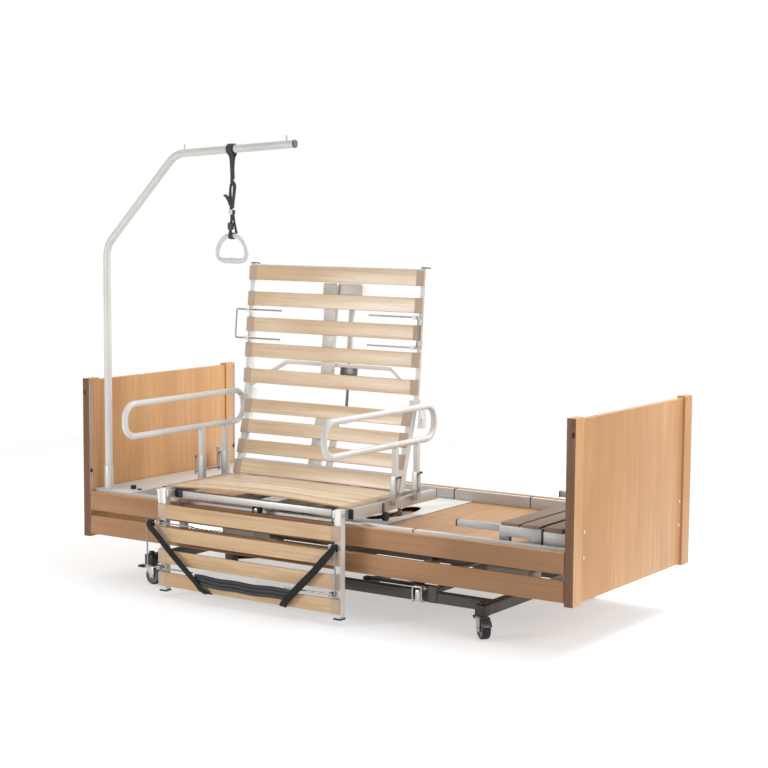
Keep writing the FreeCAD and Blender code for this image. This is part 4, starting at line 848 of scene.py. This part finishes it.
def coiled_lead():
    """Curly lead between its socket and the control box."""
    route = lead_route()
    rate = 2 * math.pi * COIL_TURNS / (COIL_STOP - COIL_START)
    swing = rate * LEAD_IN / 3
    path = [p for p in route if p.x < COIL_START - LEAD_IN - 0.001]
    for i in range(LEAD_IN_POINTS):
        u = i / LEAD_IN_POINTS
        x = COIL_START - LEAD_IN * (1 - u)
        path.append(turned(route, x, COIL_RADIUS * u * u * (3 - 2 * u), swing * u ** 3 - swing))
    steps = COIL_TURNS * TURN_POINTS
    for i in range(steps + 1):
        x = COIL_START + (COIL_STOP - COIL_START) * i / steps
        path.append(turned(route, x, COIL_RADIUS, rate * (x - COIL_START)))
    for i in range(1, LEAD_IN_POINTS + 1):
        u = 1 - i / LEAD_IN_POINTS
        x = COIL_STOP + LEAD_IN * (1 - u)
        path.append(turned(route, x, COIL_RADIUS * u * u * (3 - 2 * u), swing - swing * u ** 3))
    path += [p for p in route if p.x > COIL_STOP + LEAD_IN + 0.001]
    curve = bpy.data.curves.new("curly_lead", "CURVE")
    curve.dimensions = "3D"
    curve.resolution_u = 3
    curve.bevel_depth = LEAD_DIAMETER / 2
    curve.bevel_resolution = 3
    curve.use_fill_caps = True
    spline = curve.splines.new("NURBS")
    spline.points.add(len(path) - 1)
    for point, where in zip(spline.points, path):
        point.co = (*where, 1)
    spline.order_u = 3
    spline.use_endpoint_u = True
    lead = bpy.data.objects.new("curly_lead", curve)
    link(lead, "platform", [lead_black], ["coiled_cable"])


coiled_lead()


# ---- grab handle ------------------------------------------------------------------------
def grab_handle():
    """Rounded triangular handle: a lofted ring, thick and oval along the grip."""
    corners = [(0.0, 1.376), (0.040, 1.376), (0.064, 1.383), (0.0735, 1.404), (0.0700, 1.428),
               (0.056, 1.452), (0.034, 1.470), (0.012, 1.475)]
    right = [Vector((STRAP_X + x, POLE_Y, z)) for x, z in corners]
    left = [Vector((2 * STRAP_X - p.x, p.y, p.z)) for p in right[:0:-1]]
    points = right + left
    count = len(points)
    path = []
    for i in range(count):
        a, b, c, d = (points[(i + k) % count] for k in (-1, 0, 1, 2))
        path += [between(a, b, c, d, t) for t in (0, 0.2, 0.4, 0.6, 0.8)]
    bm = bmesh.new()
    rings = []
    total = len(path)
    for i, centre in enumerate(path):
        tangent = (path[(i + 1) % total] - path[i - 1]).normalized()
        out = tangent.cross(Vector((0, 1, 0)))
        grip = max(0.0, 1 - abs(centre.x - STRAP_X) / 0.052) if centre.z < 1.39 else 0.0
        grip = grip ** 0.4
        thick = 0.0090 + 0.0026 * grip
        deep = 0.0088 + 0.0030 * grip
        rings.append([bm.verts.new(centre + out * thick * math.cos(a)
                                   + Vector((0, deep * math.sin(a), 0)))
                      for a in (2 * math.pi * k / 20 for k in range(20))])
    for a, b in zip(rings, rings[1:] + rings[:1]):
        for j in range(20):
            k = (j + 1) % 20
            bm.faces.new((a[j], a[k], b[k], b[j]))
    bmesh.ops.recalc_face_normals(bm, faces=bm.faces)
    obj = mesh_object("grab_handle", bm)
    link(obj, "handle", [white], ["handle"])
    smooth(obj, 80.0)


grab_handle()


# ---- carried-over nodes -----------------------------------------------------------------
def at(low=None, high=None, axis="z"):
    """Test that a face's centre lies between two values along one axis of the bed."""
    index = "xyz".index(axis)
    shift = SHIFT if axis == "y" else 0.0

    def test(centre, normal):
        value = centre[index] - shift
        return (low is None or value > low) and (high is None or value < high)
    return test


def every(*tests):
    """Test that passes where all the given ones do."""
    return lambda centre, normal: all(t(centre, normal) for t in tests)


def mirrored(low, high):
    """Test that the distance from the bed's middle plane lies between two values."""
    return lambda centre, normal: low < abs(centre.y - SHIFT) < high


# Faces of the boards that point forward or back get the dark edge beech: painted shade.
BOARD_PAINTED_SHADE_EDGES = every(lambda centre, normal: abs(normal.y) > 0.7, mirrored(0.46, 0.6))
for name in ("headboard", "footboard"):
    refined(name, board_wood, 0.0015, zones=[(board_painted_shade_edge, BOARD_PAINTED_SHADE_EDGES)])
# Rail sides get the darker rail beech, which is painted shade; faces that point up get a lighter
# beech, which is painted highlight.
for name in ("rail_front_upper", "rail_front_lower", "rail_rear_upper", "rail_rear_lower"):
    refined(name, rail_painted_shade_wood, 0.0018, 3, zones=[(rail_painted_highlight, lambda c, n: n.z > 0.45)])
# Deck faces below the turntable get the darker tray beech: painted shade.
refined("deck_panels", deck_wood, 0.001, zones=[(tray_painted_shade_wood, at(high=0.3215))])
refined("foot_slats", foot_wood, 0.002, 3)
refined("platform_frame", white_coat, zones=[(rail_profile, mirrored(0.4385, 0.467))])
refined("turntable_plate", plate_coat, 0.0008)
refined("foot_section_frame", bracket_coat, zones=[(zinc, every(mirrored(0.4245, 0.43),
                                                              at(0.97, 1.0, "x")))])
refined("back_lower_frame", back_coat)
back_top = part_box("back_upper_frame")[1][2]
refined("back_upper_frame", back_coat, zones=[(black, at(back_top - 0.0075))])
refined("leg_frame", profile_z, zones=[(black, at(high=0.0285)),
                                       (wire, at(high=-0.583, axis="y"))])
refined("seat_frame", profile_y)
refined("base_frame", dark_coat, zones=[(black, mirrored(0.3985, 0.46)),
                                        (zinc, every(at(0.418, 0.468, "x"),
                                                     mirrored(0.3495, 0.3765)))])
refined("scissor_outer", dark_coat)
refined("scissor_inner", dark_coat)
refined("platform_plastics", black, zones=[
    (white, every(at(-0.4705, -0.2995, "x"), at(high=0.304))),
    (white, every(at(-0.703, -0.671, "x"), at(high=0.304)))])
refined("seat_trim", black, zones=[
    (paper, every(at(-0.723, -0.679, "x"), at(high=-0.5420, axis="y"))),
    (zinc, every(at(0.2585, 0.2645, "x"), at(0.4135, 0.4525), at(-0.34, -0.31, "y"))),
    (grey, every(at(high=0.4145), at(0.29, 0.42), at(-0.02, 0.02, "y")))])
refined("leg_motor", motor_grey, zones=[
    (black, every(at(high=-0.495, axis="y"), at(0.3835, 0.4105),
                  lambda c, n: abs(c.x - SEAT_X) > 0.0095)),
    (zinc, at(high=-0.495, axis="y")),
    (black, at(0.3965))])
refined("board_hardware", profile_z, 0.0003)
refined("lift_motor", grey)
refined("back_motor", white, 0.001, zones=[(fork_metal, every(at(0.86, 0.965),
                                                         lambda c, n: c.y > BACK_PIVOT.y + 0.13))])
paint("lift_rod", rod)
paint("back_rod", rod)
for name in ("armrest_left", "armrest_right"):
    paint(name, white_coat)
refined("pole", white_coat, 0.0, zones=[(black, at(-0.0985, axis="x"))])
paint("strap_clasp", black)
for name in ("armrest_lock_left", "armrest_lock_right"):
    refined(name, wire, 0.0003, zones=[(black, at(0.5285))])
for part in ("leg", "back"):
    for side in ("left", "right"):
        paint(part + "_retainer_" + side, wire)


def near_hub(node, reach):
    """Test that a face's centre lies within reach of the node's middle."""
    low, high = (Vector(v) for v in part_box(node))
    middle = (low + high) / 2
    return lambda centre, normal: (centre - middle).length < reach


HUB_REACH = 0.0262
for corner in ("head_front", "head_rear", "foot_front", "foot_rear"):
    wheel = "caster_wheel_" + corner
    refined("caster_fork_" + corner, fork_metal, 0.0006,
            zones=[(zinc, lambda c, n: 0.0295 < c.z < 0.0455 and abs(n.z) < 0.9
                    and abs(n.x) + abs(n.y) > 0.9 and n.xy.length > 0.95)])
    refined(wheel, rubber, 0.0006, zones=[(hub_grey, near_hub(wheel, HUB_REACH))])
    refined("brake_pedal_" + corner, black, 0.0008)
    side, end = corner.split("_")[1], corner.split("_")[0]
    refined("release_button_" + side + "_" + end, black, 0.0018, 3)


# ---- studio -----------------------------------------------------------------------------
def studio_floor():
    """A plain floor that is white where nothing shades it."""
    bm = bmesh.new()
    bmesh.ops.create_grid(bm, x_segments=1, y_segments=1, size=4.4)
    floor = mesh_object("floor", bm)
    bpy.context.scene.collection.objects.link(floor)
    floor.data.materials.append(Shader("floor", (0.62, 0.62, 0.62), Roughness=0.9,
                                       Emission_Color=(1, 1, 1, 1),
                                       Emission_Strength=0.46).material)
    floor.location.z = -0.0005


def area_light(name, position, target, size, power):
    """A white rectangular light that faces its target."""
    data = bpy.data.lights.new(name, "AREA")
    data.shape = "RECTANGLE"
    data.size, data.size_y = size
    data.energy = power
    obj = bpy.data.objects.new(name, data)
    obj.location = position
    direction = Vector(target) - Vector(position)
    obj.rotation_euler = direction.to_track_quat("-Z", "Y").to_euler()
    bpy.context.scene.collection.objects.link(obj)


def studio_light():
    """White surroundings to look at; as light, they are dimmer from the front (-Y)."""
    world = bpy.data.worlds.new("studio")
    world.use_nodes = True
    tree = world.node_tree
    seen = tree.nodes["Background"]
    seen.inputs["Color"].default_value = (1, 1, 1, 1)
    seen.inputs["Strength"].default_value = 1.0
    light = tree.nodes.new("ShaderNodeBackground")
    light.inputs["Strength"].default_value = 1.0
    direction = tree.nodes.new("ShaderNodeTexCoord").outputs["Generated"]
    split = tree.nodes.new("ShaderNodeSeparateXYZ")
    tree.links.new(direction, split.inputs[0])
    ramp = tree.nodes.new("ShaderNodeMapRange")
    for name, value in (("From Min", -0.6), ("From Max", 0.5), ("To Min", 0.36),
                        ("To Max", 1.0)):
        ramp.inputs[name].default_value = value
    raised = tree.nodes.new("ShaderNodeMath")
    raised.operation = "MULTIPLY_ADD"
    raised.inputs[1].default_value = 0.75
    tree.links.new(split.outputs["Z"], raised.inputs[0])
    tree.links.new(split.outputs["Y"], raised.inputs[2])
    tree.links.new(raised.outputs[0], ramp.inputs["Value"])
    tree.links.new(ramp.outputs["Result"], light.inputs["Strength"])
    choose = tree.nodes.new("ShaderNodeMixShader")
    tree.links.new(tree.nodes.new("ShaderNodeLightPath").outputs["Is Camera Ray"],
                   choose.inputs[0])
    tree.links.new(light.outputs[0], choose.inputs[1])
    tree.links.new(seen.outputs[0], choose.inputs[2])
    tree.links.new(choose.outputs[0], tree.nodes["World Output"].inputs["Surface"])
    bpy.context.scene.world = world


studio_floor()
studio_light()
area_light("key", (5.0, -0.9, 2.6), (0.3, 0, 0.5), (2.6, 2.6), 72)
area_light("left_panel", (-1.9, -3.5, 1.3), (-0.5, 0, 0.6), (1.3, 1.5), 50)
area_light("top", (-0.3, 0.6, 4.2), (0, 0, 0.4), (4.0, 3.0), 30)
area_light("head_fill", (1.3, 1.3, 2.5), (-1.15, 0.1, 0.6), (1.4, 1.4), 58)
